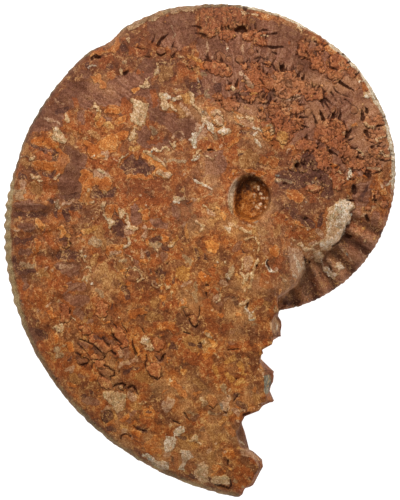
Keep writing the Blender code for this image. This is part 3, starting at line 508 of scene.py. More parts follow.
PURPLE_PX = (
    ((278,172), (292,169), (300,162), (302,154), (308,152), (314,158), (320,168), (330,176), (326,186),
     (312,184), (298,190), (284,190), (276,182)), ((324,184), (332,180), (334,196), (328,202), (322,196)),
    ((92,194), (97,190), (104,192), (108,192), (110,189), (115,187), (118,190), (116,195), (111,198),
     (102,197), (94,199)),
    ((119,167), (124,162), (130,156), (134,156), (136,160), (139,155), (141,158), (144,162), (148,166),
     (153,165), (155,168), (151,171), (152,174), (146,175), (140,172), (134,174), (128,174), (122,170)),
    ((33,146,2), (37,147,1.8)), ((40,149,1.5), (44,151,3)), ((54,152,2), (55,158,3)),
    ((20,175,2.5), (24,178,2)), ((33,173,1.5), (38,174,1.5)), ((46,174,2.5), (52,177,3), (54,172,2)),
    ((66,197,2.5), (76,196,2.5)), ((66,206), (72,204), (80,204), (84,208), (76,210), (66,211)),
    ((64,211,2), (68,219,3.5)), ((55,211,2), (57,216,2)), ((116,214,2), (118,216,1.5)),
    ((114,222), (122,219), (126,226), (124,238), (116,238), (112,230)), ((61,240,1.5), (67,238,1.5)),
    ((58,256,3), (66,254,4), (76,256,4)), ((16,214,2.5), (30,215,2.5), (46,214,2)),
    ((14,238,2.5), (22,242,2.5), (32,238,2)), ((15,258,2), (15,264,3), (20,272,3)),
    ((26,272,3), (34,270,2)), ((152,240,3), (158,239,3)), ((160,246,2), (168,250,2)),
    ((147,252,2.5), (148,256,2.5)), ((158,272,3), (163,274,4)), ((124,288,3), (128,298,3)),
    ((226,298,1.5), (232,297,1.5), (236,302,3)), ((124,373,2), (138,367,1.6)), ((172,346,3), (176,348,2.5)),
    ((199,344,2.5), (201,348,2)), ((234,398,3), (238,394,2.5)),
    ((101,416), (105,410), (111,408), (113,414), (111,421), (105,423), (101,420)),
    ((180,438,2), (184,438,2)), ((84,396,3),), ((38,332,4), (46,336,3)), ((58,112,3), (66,110,3)),
    ((122,46,3), (126,52,3)), ((190,84), (202,80), (204,92), (196,98), (190,94)),
    ((214,84), (222,82), (222,92), (216,92)), ((238,100,3), (246,102,2)), ((240,133,2), (252,133,2)),
    ((292,214,2), (312,226,4), (306,219,3)), ((308,266,4), (314,276,3)), ((304,284,4), (306,292,4)),
    ((354,186,2.5), (356,192,2)), ((332,246), (340,243), (346,250), (340,256), (336,262)),
    ((325,257,2.5), (330,266,2.5)), ((240,404,3), (246,408,3)), ((312,284,2.5),),
    ((296,300,5), (286,302,4)), ((84,64), (90,60), (90,68), (84,68)), ((110,66,3),),
    ((250,94,2), (236,94,2)), ((272,94,4), (266,104,3)), ((320,224,3), (322,214,2)),
    ((96,338,2.5), (104,339,1.5)), ((94,349,2.5), (98,352,2.5)), ((345,236,3), (347,244,3)),
    ((368,186,1), (360,200,2.5)), ((114,430,3), (108,428,3)), ((146,432,3), (138,428,2)), ((288,206,3),),
    ((210,480,2), (190,476,2)),
)
LEAVES_PX = (
    ((200,10), (212,6), (226,5), (240,8), (247,15), (244,24), (249,28), (243,27), (236,30), (226,24),
     (218,30), (210,24), (201,22)), ((202,23), (208,24), (214,30), (213,36), (206,36), (201,31)),
    ((220,31), (226,31), (233,33), (234,38), (229,36), (228,41), (225,41), (223,37), (220,38)),
    ((243,34), (250,31), (251,37), (246,40)), ((253,31), (261,32), (261,38), (255,36)),
    ((254,40), (262,39), (267,46), (262,47), (256,44)),
    ((263,76), (268,76), (275,84), (279,78), (274,73), (283,73), (288,71), (295,73), (297,80), (296,88),
     (299,96), (290,96), (284,98), (276,94), (270,88), (264,84)),
    ((299,41), (306,41), (308,46), (304,48), (306,53), (304,58), (299,55), (300,48)),
    ((311,60), (320,58), (322,64), (318,69), (312,68)),
    ((330,72), (338,71), (341,76), (338,81), (331,81), (327,77)),
    ((330,58), (346,56), (350,64), (344,70), (334,70), (329,66)),
    ((306,82), (309,88), (322,90), (324,96), (320,99), (314,98), (310,101), (305,96), (300,88), (300,82)),
    ((317,124), (321,121), (328,121), (331,127), (334,119), (340,121), (345,127), (345,134), (341,139),
     (347,142), (349,146), (345,149), (338,148), (331,146), (325,142), (318,139), (316,132)),
    ((302,142), (312,141), (317,146), (311,150), (301,150), (295,147)),
    ((312,152), (319,150), (327,151), (330,157), (328,160), (330,166), (327,170), (320,168), (315,170),
     (312,162), (309,157)),
    ((341,150), (350,149), (356,152), (357,158), (361,162), (359,168), (352,168), (346,164), (343,158)),
    ((364,118), (369,118), (371,123), (376,126), (373,128), (366,126)),
    ((375,119), (383,117), (384,123), (378,124)),
    ((365,134), (372,130), (384,132), (386,137), (380,142), (371,141), (366,138)),
    ((333,170), (342,172), (344,180), (340,190), (333,186)),
    ((292,118), (302,120), (304,127), (298,130), (292,127)), ((291,104), (300,106), (299,112), (292,112)),
    ((361,164), (370,160), (376,166), (374,172), (364,172)),
    ((291,158), (300,156), (304,160), (298,166), (291,170)),
    ((306,180), (318,178), (324,184), (316,192), (306,188)),
    ((246,74), (258,70), (262,74), (262,88), (256,97), (248,94)),
    ((240,92), (246,94), (252,102), (247,103)),
    ((270,104), (284,104), (290,112), (286,124), (276,122), (270,114)),
    ((262,122), (272,128), (274,140), (264,134)), ((277,126), (290,126), (292,138), (284,144), (276,138)),
    ((372,150), (388,150), (388,160), (376,158)),
    ((206,62), (214,61), (226,66), (232,74), (222,76), (208,70)),
    ((224,100), (236,102), (238,110), (226,110)),
    ((90,335), (97,337), (104,342), (110,348), (108,352), (100,350), (96,345), (90,341)),
    ((62,305), (69,308), (69,320), (62,322)), ((98,303), (106,304), (106,316), (98,315)),
    ((150,366), (156,364), (161,370), (160,378), (153,376), (148,372)),
    ((112,328), (122,330), (127,345), (121,347)), ((92,355), (103,358), (105,368), (96,366)),
    ((99,379), (108,378), (112,388), (104,388)), ((114,347), (121,349), (121,356), (115,356)),
    ((80,327), (88,328), (90,334), (83,333)), ((191,316), (196,317), (198,325), (193,325)),
    ((152,340), (160,338), (164,346), (156,350)),
)
# Leaves with five lobes: (across, down, size, heading in degrees clockwise from the right).
FRILLS_PX = (
    (206,30,6,100), (223,35,3.6,120), (226,38,2.6,90), (232,36,2.8,60), (246,36,3.6,110), (251,34,3,60),
    (257,35,3.6,30), (259,42,3.6,170), (265,79,4,150), (272,86,4,90), (278,91,3.6,60), (283,76,5,-90),
    (292,80,4.2,-60), (286,85,4,120), (303,44,4.6,180), (301,53,3.8,180), (308,56,3,120), (313,54,3,60),
    (316,65,4.6,180), (322,70,3,120), (333,66,4,-120), (332,76,4.6,150), (320,49,4,-90), (303,86,5,150),
    (312,94,5,160), (320,93,4.4,190), (367,121,4,-150), (372,125,3,60), (379,119,4,0), (375,136,5,190),
    (384,136,2.6,20), (305,144,5,-90), (314,154,5,180), (325,153,4.4,180), (348,154,5,90), (355,163,5,90),
    (326,165,3.6,90), (291,128,5,-60), (280,133,4.4,-90), (296,121,4,30), (294,105,4.4,-30),
    (300,109,3.4,60), (284,112,4,-120), (272,108,4,150), (264,100,4,120), (251,98,4,90), (243,93,3.4,160),
    (236,104,4,90), (262,116,4,-90), (276,121,4.4,-90), (340,60,4,60), (352,74,3.6,30), (372,152,3.6,150),
    (380,150,3,60), (366,164,3.6,100), (378,168,3.6,60), (352,176,3,90), (376,196,4,100), (384,204,3.6,60),
    (368,208,3,90), (340,146,3.6,-60), (330,144,3.6,-90), (302,170,3,90), (292,164,4,-60), (244,66,3.4,30),
    (256,66,3.4,30), (268,64,3,30), (218,97,3.6,90), (228,88,3,60), (208,66,4,90), (192,64,4,60),
)
LOBES_PX = (
    ((251,52,3.8),), ((220,57,5.8),), ((240,59,4.4),), ((229,59,2.8),), ((161,51,4.6),),
    ((96,345,3), (100,352,3.5), (102,356,3)), ((80,361,3), (87,362,2.5)),
    ((102,371,3), (106,373,4.5), (112,373,2.5)), ((122,387,3.5),), ((131,389,3),), ((66,245,4),),
    ((133,275,7),), ((107,416,6),), ((218,121,6),), ((186,312,4),), ((174,50,3), (173,55,2)),
    ((302,126,3),), ((308,112,4),), ((290,84,4),), ((334,110,4),), ((354,110,4),), ((300,68,4),),
    ((346,160,4),), ((328,170,4),), ((272,112,4),), ((236,98,4),), ((262,96,4),), ((284,104,4),),
)
GROOVES_PX = (
    ((236,30,2.2), (242,29,4), (246,31,1.6)), ((240,28,1.2), (237,25,0.5)), ((242,27,1), (243,22,0.4)),
    ((245,28,1), (248,24,0.4)), ((192,26,0.5), (197,26.5,1.1), (201,28,1.7)),
    ((195,33,0.5), (200,33,1.1), (205,36,1.5)), ((260,31,0.5), (268,30,0.9)), ((266,34,0.5), (277,33,1.1)),
    ((262,46,0.6), (272,47,1.4), (283,47,0.9)), ((272,52,0.5), (276,54,1)), ((205,60,0.8), (212,61,1)),
    ((152,43,0.8), (155,36,0.4)), ((158,45,1.6), (163,38,1.5), (168,34,0.5)), ((172,47,0.8), (175,41,0.4)),
    ((172,57,1.2), (175,54,0.7)), ((137,47,0.5), (142,49,0.8), (146,49,0.5)),
    ((156,54,0.6), (161,56,0.9), (166,53,0.8)), ((145,57,0.5), (149,57,0.8)),
    ((92,58,1.8), (96,56,2.2), (100,57,1.5)), ((340,82,1.8), (346,86,1.6), (354,91,0.5)),
    ((331,92,0.9), (337,101,0.3)), ((345,99,0.9), (353,106,0.3)),
    ((334,86,0.5), (335,91,0.7), (341,94,0.6), (350,97,0.4)), ((340,97,0.3), (342,104,0.7)),
    ((300,117,1.3), (308,117,0.5)), ((300,105,0.9), (306,104,0.3)), ((323,89,0.8), (324,98,1.2)),
    ((302,126,1), (309,127,0.4)), ((330,151,1.6), (338,156,0.6)), ((320,101,1), (326,99,1.2)),
    ((322,101,1.3), (324,109,0.3)), ((325,101,1.3), (330,110,0.3)), ((327,100,1), (334,105,0.3)),
    ((312,112,0.3), (316,122,1.3)), ((320,110,0.4), (323,119,2)), ((336,108,0.4), (333,117,1.8)),
    ((341,108,0.4), (340,119,1.6)), ((344,121,0.7), (346,127,0.7)), ((362,110,0.4), (363,118,2.2)),
    ((365,106,0.4), (367,112,1.7)), ((352,128,0.4), (347,136,2.2)), ((366,132,2.2), (369,138,0.9)),
    ((304,74,0.3), (303,79,1.5)), ((284,62,0.3), (283,70,2.2)), ((279,62,0.3), (281,70,1.2)),
    ((298,160,0.3), (297,166,2.2)), ((357,157,1.4), (361,160,0.6)), ((351,148,1.2), (355,149,0.5)),
    ((364,174,0.6), (367,170,1), (371,176,0.7)), ((368,172,0.5), (369,178,1)), ((222,24,0.3), (222,30,1.4)),
    ((258,32,0.7), (264,29,0.5)), ((256,44,0.5), (261,46,0.8)), ((257,50,0.8), (258,52,0.9)),
    ((254,59,0.5), (260,57,0.8), (267,60,0.5)), ((272,64,0.7), (276,70,1)), ((262,63,0.5), (268,65,0.8)),
    ((238,78,0.5), (236,85,1.4)), ((260,79,0.7), (263,83,0.6)), ((311,62,0.5), (310,67,0.8), (314,70,0.5)),
    ((327,73,0.5), (327,78,0.7), (333,81,0.7), (339,79,0.5)), ((330,62,0.4), (330,67,0.9), (337,70,1)),
    ((305,50,0.5), (309,56,0.9)), ((297,51,0.5), (299,57,0.7), (304,57,0.5)), ((314,41,1.2), (319,44,0.6)),
    ((343,157,0.9), (345,160,0.5)),
    ((79,339,0.5), (85,341,0.8), (93,344,0.6), (98,349,0.8), (102,353,0.6), (105,357,0.6), (102,360,0.5),
     (94,360,0.5)), ((77,343,0.4), (82,348,0.7), (89,355,0.4)),
    ((76,353,0.7), (82,356,0.6), (86,358,0.6), (89,361,0.6), (87,364,0.6), (80,365,1)),
    ((102,337,0.4), (106,343,0.8), (109,346,1.4)),
    ((111,333,0.6), (114,337,1.2), (119,342,0.7), (122,344,0.6), (119,346,0.5)),
    ((111,351,1), (115,354,1.5)), ((132,338,0.4), (133,346,0.9), (136,354,1.3)),
    ((104,365,0.7), (108,367,0.9), (110,370,0.6), (114,371,0.7), (115,375,0.7), (111,376,0.8),
     (111,380,0.5)), ((97,370,0.4), (100,374,0.6), (105,378,0.6), (111,379,0.6)),
    ((92,364,0.7), (92,368,0.5)), ((112,387,0.9), (117,384.5,0.9), (122,383,1), (125,385,1), (124,388,0.8)),
    ((128,388,0.8), (133,386,1), (135,390,0.9), (138,395,0.6)),
    ((146,355,0.7), (147,359,0.6), (145,363,0.6), (146,367,0.6)),
    ((156,357,0.5), (159,361,0.6), (162,359,1.3), (165,354,0.5)),
    ((148,371,0.5), (150,376,0.7), (153,376,0.7), (157,380,0.7), (161,378,0.5), (161,372,0.4)),
    ((110,320,0.4), (117,328,0.6)), ((121,322,0.4), (127,333,0.6)), ((69,308,0.6), (70,313,1)),
    ((189,320,0.6), (192,325,0.7), (196,327,0.7), (199,322,0.6)),
    ((200,305,0.4), (200,311,0.8), (198,318,0.4)), ((183,309,0.5), (187,317,0.5), (190,315,0.5)),
    ((142,329,0.8), (145,333,0.5)), ((183,332,0.5), (190,334,0.7)),
    ((208,405,0.3), (213,409,0.4), (217,404,0.3)), ((223,411,0.3), (226,414,0.5), (228,408,0.3)),
    ((234,400,0.7), (238,396,0.5)), ((184,413,0.9), (189,420,0.6)), ((228,350,0.4), (239,349,0.6)),
    ((206,286,0.9), (209,285,0.6)), ((206,293,0.9), (207,297,0.6)), ((228,460,0.9), (228,465,0.7)),
    ((230,480,0.5), (231,485,1), (229,488,0.6)), ((215,484,0.8), (228,488,1)),
    ((244,415,1.2), (250,412,0.8)), ((121,440,0.8), (121,436,0.9), (126,434,0.8), (131,436,0.9)),
    ((133,425,0.4), (138,430,0.7), (146,431,0.8)), ((173,421,0.8), (180,424,0.7)),
    ((268,260,0.8), (267,264,0.8), (270,270,0.7)), ((257,266,1.3),), ((248,303,0.6), (247,308,0.8)),
    ((354,186,1.6), (354,193,2)), ((347,200,0.8), (354,201,0.8)), ((304,257,0.8), (307,262,1.6)),
    ((344,227,0.3), (340,242,0.5), (332,246,0.5)), ((329,266,0.6), (331,270,0.9)), ((348,227,2),),
    ((347,236,2), (351,237,1.4)), ((366,216,1.5), (368,221,1.4)),
    ((365,173,0.9), (369,178,0.9), (371,174,0.6)), ((374,196,0.9), (376,203,0.9)),
    ((283,183,1.2), (287,184,0.8)), ((70,244,1.2),), ((125,74,1.6), (128,71,1)),
    ((208,150,1), (215,150,0.6)), ((305,219,1.6), (308,218,0.8)), ((310,154,0.6), (313,151,0.8)),
)
# Dark spots of painted shadow in the upper part of the umbilicus.
PIT_SHADOW_SPOTS_PX = (
    ((239,185,3), (238,192,2)), ((247,186,2.5), (250,190,1.5)), ((262,183,1.5),),
    ((258,180,2), (250,178,2)),
)
HOLES_PX = (
    (260,69,1.2), (282,67,2.2), (285,71,1.4), (293,97,1.2), (302,78,1.5), (321,114,1.8), (323,120,1.4),
    (333,114,1.5), (347,132,1.7), (348,136,1.3), (343,140,1.2), (362,114,1.8), (367,109,1.3), (365,132,1.3),
    (368,140,1.2), (297,166,2), (310,152,1.1), (312,162,1.1), (297,145,1.2), (353,190,1.2), (309,262,2),
    (321,273,1.2), (43,151,1.1), (54,155,1.1), (163,358,1.2), (200,343,1.6), (214,211,1.1), (272,146,1.2),
    (229,163,1.1), (111,229,1.2), (167,264,1.3), (157,272,1.3), (316,123,1.1), (236,379,1.2),
)
SEAM_ZONE_PX = (
    (196,40), (262,24), (312,40), (352,74), (380,112), (390,160), (372,176), (330,176), (300,150),
    (284,140), (262,118), (226,110), (204,96),
)
LOWER_SEAM_PX = ((60, 320), (104, 316), (136, 330), (168, 354), (164, 384), (134, 398), (100, 386), (70, 360))


def settle(piece):
    """Turns a piece into the plain mesh that its modifiers leave."""
    graph = bpy.context.evaluated_depsgraph_get()
    mesh = bpy.data.meshes.new_from_object(piece.evaluated_get(graph))
    before = piece.data
    piece.modifiers.clear()
    piece.data = mesh
    bpy.data.meshes.remove(before)
    mesh.name = piece.name


def per_point(mesh, what):
    """The places (co) or normals (normal) of all a mesh's points, as one array."""
    flat = np.empty(len(mesh.vertices) * 3, dtype=np.float32)
    mesh.vertices.foreach_get(what, flat)
    return flat.reshape(-1, 3).astype(np.float64)


def move_points(mesh, points):
    """Puts a mesh's points at new places."""
    mesh.vertices.foreach_set("co", points.astype(np.float32).ravel())
    mesh.update()


def store(mesh, name, values):
    """Keeps one number for each point of a mesh, under a name that a node tree can read."""
    layer = mesh.attributes.get(name) or mesh.attributes.new(name, "FLOAT", "POINT")
    layer.data.foreach_set("value", np.asarray(values, dtype=np.float32))


def ease(value, low, high):
    """0 up to low, 1 from high on, and smooth between them."""
    share = np.clip((value - low) / (high - low), 0.0, 1.0)
    return share * share * (3 - 2 * share)


CLOUD_SLOPES = 4096
CLOUD_MIXERS = (73856093, 19349663, 83492791)


def cloud(place, size, seed, layers=1):
    """Soft random patches about size wide at each place, mostly between -1 and 1."""
    ways = place.shape[-1]
    total = 0.0
    for layer in range(layers):
        slopes = np.random.default_rng(seed + layer).normal(size=(CLOUD_SLOPES, ways))
        spot = place / size * 2 ** layer + 37.7
        cell = np.floor(spot).astype(np.int64)
        inside = spot - cell
        fade = inside ** 3 * (inside * (inside * 6 - 15) + 10)
        for corner in itertools.product((0, 1), repeat=ways):
            mixed = ((cell + corner) * CLOUD_MIXERS[:ways]).sum(-1)
            slope = slopes[(mixed ^ (mixed >> 13)) & (CLOUD_SLOPES - 1)]
            weight = np.where(corner, fade, 1 - fade).prod(-1)
            total = total + weight * ((inside - corner) * slope).sum(-1) * 0.55 ** layer
    return total


def photo_place(points):
    """Where the camera sees each point, in photo pixels from the left and from the top."""
    nearer = CAMERA_RISE / (CAMERA_RISE - (points[:, 2] - KEEL_PLANE)) / PIXEL
    return PHOTO_WIDTH / 2 + points[:, 0] * nearer, PHOTO_HEIGHT / 2 - (points[:, 1] - MIDDLE_Y) * nearer


def coil_place(points):
    """Each point's angle round the coil in degrees, and its share of the way out to the keel."""
    right, far = points[:, 0] - COIL_AXIS[0], points[:, 1] - COIL_AXIS[1]
    turn = (np.degrees(np.arctan2(-right, -far)) - FIRST_TURN) % 360 + FIRST_TURN
    return turn, np.hypot(right, far) * WHORL_EXPANSION ** (turn / 360) / KEEL_RADIUS


def growth_lines(turn, share):
    """The fine lines across the shell that each spell of growth leaves."""
    return cloud(np.stack((turn / 0.9, share * 5), axis=-1), 1.0, 61, 2)


def past_break(across, down):
    """How many pixels each place lies to the right of the broken edge."""
    edge_across, edge_down = zip(*BROKEN_EDGE_PX)
    return across - np.interp(down, edge_down, edge_across)


def pit_share(across, down):
    """0 in the middle of the umbilicus and 1 at its edge."""
    right, low = across - UMBILICUS_PX[0], down - UMBILICUS_PX[1]
    return np.hypot(right / UMBILICUS_SIZE_PX[0], low / UMBILICUS_SIZE_PX[1])


def along_line(across, down, start, end):
    """How far along a line each place is, from 0 to 1, and its distance in pixels to the line."""
    (x0, y0), (x1, y1) = start[:2], end[:2]
    length = max((x1 - x0) ** 2 + (y1 - y0) ** 2, 1e-9)
    along = np.clip(((across - x0) * (x1 - x0) + (down - y0) * (y1 - y0)) / length, 0.0, 1.0)
    return along, np.hypot(across - x0 - along * (x1 - x0), down - y0 - along * (y1 - y0))


def line_distance(across, down, corners):
    """Distance in pixels to a line through corners."""
    nearest = np.full(across.shape, np.inf)
    for start, end in zip(corners, corners[1:]):
        nearest = np.minimum(nearest, along_line(across, down, start, end)[1])
    return nearest


def shape_depth(shape, across, down):
    """How many pixels each place is inside a shape, below zero outside it."""
    if len(shape[0]) == 2:
        closed = shape + shape[:1]
        inside = np.zeros(across.shape, dtype=bool)
        for (x0, y0), (x1, y1) in zip(closed, closed[1:]):
            if y0 != y1:
                inside ^= ((y0 > down) != (y1 > down)) & (across < (x1 - x0) * (down - y0) / (y1 - y0) + x0)
        return np.where(inside, 1, -1) * line_distance(across, down, closed)
    deepest = np.full(across.shape, -np.inf)
    for first, last in zip(shape, shape[1:] or shape):
        along, gap = along_line(across, down, first, last)
        deepest = np.maximum(deepest, first[2] + along * (last[2] - first[2]) - gap)
    return deepest


plan_down, plan_across = np.mgrid[0:PHOTO_HEIGHT:CELL, 0:PHOTO_WIDTH:CELL] + CELL / 2
plan = np.stack((plan_across, plan_down), axis=-1)
bend_across = cloud(plan, 7.0, 11, 3)
bend_down = cloud(plan, 7.0, 21, 3)


REACH_PX = 5.0


def marked(shapes, bend, reach=REACH_PX):
    """How many pixels each cell of the plan is inside the nearest of some shapes, down to -reach."""
    deepest = np.full(plan_across.shape, -reach)
    for shape in shapes:
        corners = np.array([corner[:2] for corner in shape], dtype=float)
        margin = reach + 3 + max(corner[2] if len(corner) == 3 else 0 for corner in shape)
        left, top = np.maximum((corners.min(0) - margin) / CELL, 0).astype(int)
        right, foot = ((corners.max(0) + margin) / CELL).astype(int)
        window = np.s_[top:foot, left:right]
        across = plan_across[window] + bend * bend_across[window]
        down = plan_down[window] + bend * bend_down[window]
        deepest[window] = np.maximum(deepest[window], shape_depth(shape, across, down))
    return deepest


def round_at(across, down, heading, distance, radius):
    """A round some way off, in a heading clockwise from the right."""
    return across + distance * math.cos(heading), down + distance * math.sin(heading), radius


def away_from_axis(across, down):
    """The heading from the coil's axis to a place in the photo."""
    return math.atan2(down - COIL_AXIS_PX[1], across - COIL_AXIS_PX[0])


SHYNESS = 0.85


def scattered(count, zone, seed, smallest, largest, longest, lean=None):
    """Random strands in a zone: each grows from one round to another, along the coil if lean is given.
    A share of them, the shyness, keeps off the smooth chambers."""
    chance = np.random.default_rng(seed)
    corners = np.array(zone)
    shapes = []
    while len(shapes) < count:
        x, y = chance.uniform(corners.min(0), corners.max(0))
        if shape_depth(zone, np.array([x]), np.array([y]))[0] < 0:
            continue
        row, column = np.minimum((int(y / CELL), int(x / CELL)), np.subtract(chambers.shape, 1))
        if chambers[row, column] > -1 and chance.random() < SHYNESS:
            continue
        heading = chance.uniform(0, 2 * math.pi)
        if lean is not None:
            heading = away_from_axis(x, y) + math.radians(lean + chance.normal(0, 28))
        length = chance.uniform(0.2, 1.0) * longest
        first, last = chance.uniform(smallest, largest, 2)
        shapes.append(((x, y, first), round_at(x, y, heading, length, last)))
    return tuple(shapes)


def sampled(values, across, down):
    """A plan's values at places between its cells."""
    column = np.clip(across / CELL - 0.5, 0, values.shape[1] - 1.001)
    row = np.clip(down / CELL - 0.5, 0, values.shape[0] - 1.001)
    left, top = column.astype(int), row.astype(int)
    column, row = column - left, row - top
    upper = values[top, left] * (1 - column) + values[top, left + 1] * column
    lower = values[top + 1, left] * (1 - column) + values[top + 1, left + 1] * column
    return upper * (1 - row) + lower * row


def softened(values, width):
    """A plan blurred over about width pixels."""
    radius = max(1, round(width / CELL / 2))
    span = 2 * radius + 1
    for axis in (0, 1, 0, 1):
        padding = [(radius + 1, radius) if side == axis else (0, 0) for side in (0, 1)]
        sums = np.cumsum(np.pad(values, padding, mode="edge"), axis=axis)
        values = (np.take(sums, range(span, sums.shape[axis]), axis) -
                  np.take(sums, range(0, sums.shape[axis] - span), axis)) / span
    return values


def frill(across, down, size, heading):
    """One leaf of an old chamber seam, and the slots that run out from between its lobes."""
    parts, slots = [], []
    for step in (-2, -1, 0, 1, 2):
        lobe = round_at(across, down, math.radians(heading + 50 * step), 0.78 * size, 0.38 * size)
        parts.append(((across, down, 0.42 * size), lobe))
    stem = round_at(across, down, math.radians(heading + 180), 1.3 * size, 0.2 * size)
    parts.append(((across, down, 0.4 * size), stem))
    for step in (-1, 1):
        angle = math.radians(heading + 23 * step)
        far_end = round_at(across, down, angle, 1.7 * size, 0.2)
        slots.append((round_at(across, down, angle, 0.95 * size, 0.6), far_end))
    return parts, slots


def scalloped(outline, seed):
    """An outline with round lobes all along its edge, like a seam leaf."""
    chance = np.random.default_rng(seed)
    shapes = [outline]
    for (x0, y0), (x1, y1) in zip(outline, outline[1:] + outline[:1]):
        lobes = max(1, round(math.hypot(x1 - x0, y1 - y0) / LOBE_GAP_PX))
        for lobe in range(lobes):
            along = (lobe + chance.uniform(0.2, 0.8)) / lobes
            size = LOBE_PX * chance.uniform(0.6, 1.2)
            shapes.append(((x0 + along * (x1 - x0), y0 + along * (y1 - y0), size),))
    return shapes


whole_plan = ((0, 0), (PHOTO_WIDTH, 0), (PHOTO_WIDTH, PHOTO_HEIGHT), (0, PHOTO_HEIGHT))
chambers = marked(MAUVE_PX, 2.2)
frilled = [frill(*leaf) for leaf in FRILLS_PX]
leaf_parts = [part for number, outline in enumerate(LEAVES_PX) for part in scalloped(outline, 60 + number)]
leaf = marked(leaf_parts + [part for parts, slots in frilled for part in parts], 1.0)
SEAMS_END_PX = 185
SCALE_WINDOW = 16


def scales_and_slots(scales, slots, seed):
    """Small round-ended scales that overlap on the leaves, and tapered slots that run outwards from
    the edges of the leaves."""
    chance = np.random.default_rng(seed)
    depth, shade = np.full(plan_across.shape, 5.0), np.full(plan_across.shape, 0.5)
    places = np.argwhere((leaf > 0.3) & (plan_down < SEAMS_END_PX))
    for row, column in places[chance.choice(len(places), scales)]:
        x, y = column * CELL, row * CELL
        chance.random()  # One draw is passed over, which keeps every scale in its place.
        size = chance.uniform(0.9, 2.0)
        heading = away_from_axis(x, y) + chance.normal(0, 1.0)
        scale = (x, y, size * 0.8), round_at(x, y, heading, size * 1.5, size)
        window = np.s_[max(row - SCALE_WINDOW, 0):row + SCALE_WINDOW,
                       max(column - SCALE_WINDOW, 0):column + SCALE_WINDOW]
        here = shape_depth(scale, plan_across[window] + 0.7 * bend_across[window],
                           plan_down[window] + 0.7 * bend_down[window])
        over = (here > -0.9) & (leaf[window] > -1.5)
        depth[window] = np.where(over, here, depth[window])
        shade[window] = np.where(over, chance.random(), shade[window])
    slope_down, slope_across = np.gradient(leaf)
    places = np.argwhere((leaf > -1.2) & (leaf < 0.2) & (plan_down < SEAMS_END_PX))
    strands = []
    while len(strands) < slots:
        row, column = places[chance.integers(len(places))]
        x, y = column * CELL, row * CELL
        outward = away_from_axis(x, y)
        heading = math.atan2(-slope_down[row, column], -slope_across[row, column])
        if math.cos(heading - outward) > 0.1:
            heading = outward + 0.5 * math.sin(heading - outward) + chance.normal(0, 0.2)
            far_end = round_at(x, y, heading, chance.uniform(2, 8), 0.1)
            strands.append(((x, y, chance.uniform(0.4, 1.2)), far_end))
    return depth, shade, tuple(strands)


scale, scale_shade, scale_slots = scales_and_slots(scales=520, slots=140, seed=81)
lobe = marked(LOBES_PX, 0.8)
groove = marked(GROOVES_PX + tuple(slot for parts, slots in frilled for slot in slots) + scale_slots
                + scattered(14, LOWER_SEAM_PX, 8, 0.1, 0.4, 5.0, 20)
                + scattered(60, whole_plan, 9, 0.1, 0.5, 4.0), 0.8)
hole = marked(tuple((spot,) for spot in HOLES_PX) + scattered(40, SEAM_ZONE_PX, 10, 0.4, 1.0, 1.5)
              + scattered(170, whole_plan, 12, 0.2, 0.8, 1.0), 0.8)
inner_turn = marked((INNER_TURN_PX,), 0.6, 12.0)

# Each mark's shapes and waviness, then the strands that are scattered besides: how many, their seed,
# their smallest and largest radius, and how long they may be.
plans = {name: marked(shapes + scattered(count, whole_plan, *strands), bend)
         for name, shapes, bend, count, *strands in (
             ("cream", CREAM_PX, 2.2, 100, 13, 0.2, 0.9, 3.0),
             ("calcite", CALCITE_PX, 1.6, 70, 14, 0.2, 0.7, 2.0),
             ("orange", ORANGE_PX, 2.0, 200, 15, 0.4, 1.6, 5.0),
             ("rust", RUST_PX, 3.0, 150, 71, 0.5, 2.0, 5.0),
             ("tan", TAN_PX, 3.0, 150, 72, 0.4, 1.7, 5.0),
             ("bright", BRIGHT_PX, 1.6, 80, 73, 0.3, 1.6, 3.0),
             ("pinkish", PINKISH_PX, 1.8, 120, 74, 0.4, 1.6, 4.0),
             ("grey", GREY_PX, 2.4, 50, 16, 0.4, 1.6, 4.0),
             ("yellow", YELLOW_PX, 1.6, 90, 17, 0.4, 1.3, 3.5),
             ("mauve", MAUVE_PX, 2.2, 70, 18, 1.0, 3.6, 8.0),
             ("purple", PURPLE_PX, 2.2, 60, 19, 0.6, 2.0, 6.0))}
plans["mauve"] = np.maximum(plans["mauve"], np.minimum(marked((SEAM_ZONE_PX,), 3.0, 8.0), 2.0))
plans.update(leaf=leaf, lobe=lobe, groove=groove, hole=hole, scale=scale,
             scale_shade=(scale_shade - 0.5) * REACH_PX, slate=marked(SLATE_PX, 0.8),
             pit_spots=marked(PIT_SHADOW_SPOTS_PX, 1.5), dusky=marked(DUSKY_PX, 4.0, 12.0) / 4,
             dusty=marked(DUSTY_PX, 4.0, 12.0) / 4)
cream, calcite, orange = plans["cream"], plans["calcite"], plans["orange"]

# The same plan as heights in millimetres: what stands proud, what is cut in, and what is just uneven.
# A cut deepens by its slope with each pixel from its edge, and the bared turn lies a step lower.
CUT_SLOPE, CRUST_STEP = 0.42, 0.42
rough_share = ease(np.maximum(orange, leaf), -3, 1) * (1 - ease(plans["mauve"], -1, 2))
relief = 0.10 * cloud(plan, 34.0, 31) + 0.07 * cloud(plan, 13.0, 32) + 0.04 * cloud(plan, 5.0, 33)
relief += (0.03 + 0.05 * rough_share) * cloud(plan, 2.6, 34, 2)
relief += 0.20 * ease(cream, -0.7, 0.9) + 0.10 * ease(calcite, -0.6, 0.8)
relief += 0.20 * ease(leaf, -0.7, 0.5) + 0.06 * ease(orange, -0.8, 0.8)
outlined = np.clip(0.6 + 0.6 * cloud(plan, 9.0, 35), 0.2, 1)
relief -= 0.26 * outlined * np.exp(-((leaf + 0.4) / 0.6) ** 2) + 0.22 * np.exp(-((lobe + 0.2) / 0.6) ** 2)
relief -= CUT_SLOPE * np.clip(groove + 0.35, 0, 2.6) + CUT_SLOPE * np.clip(hole + 0.3, 0, 2.4)
relief -= 0.12 * np.exp(-((scale + 0.3) / 0.5) ** 2) * (scale < 1)
from_crust = line_distance(plan_across + bend_across, plan_down + bend_down, CRUST_EDGE_PX)
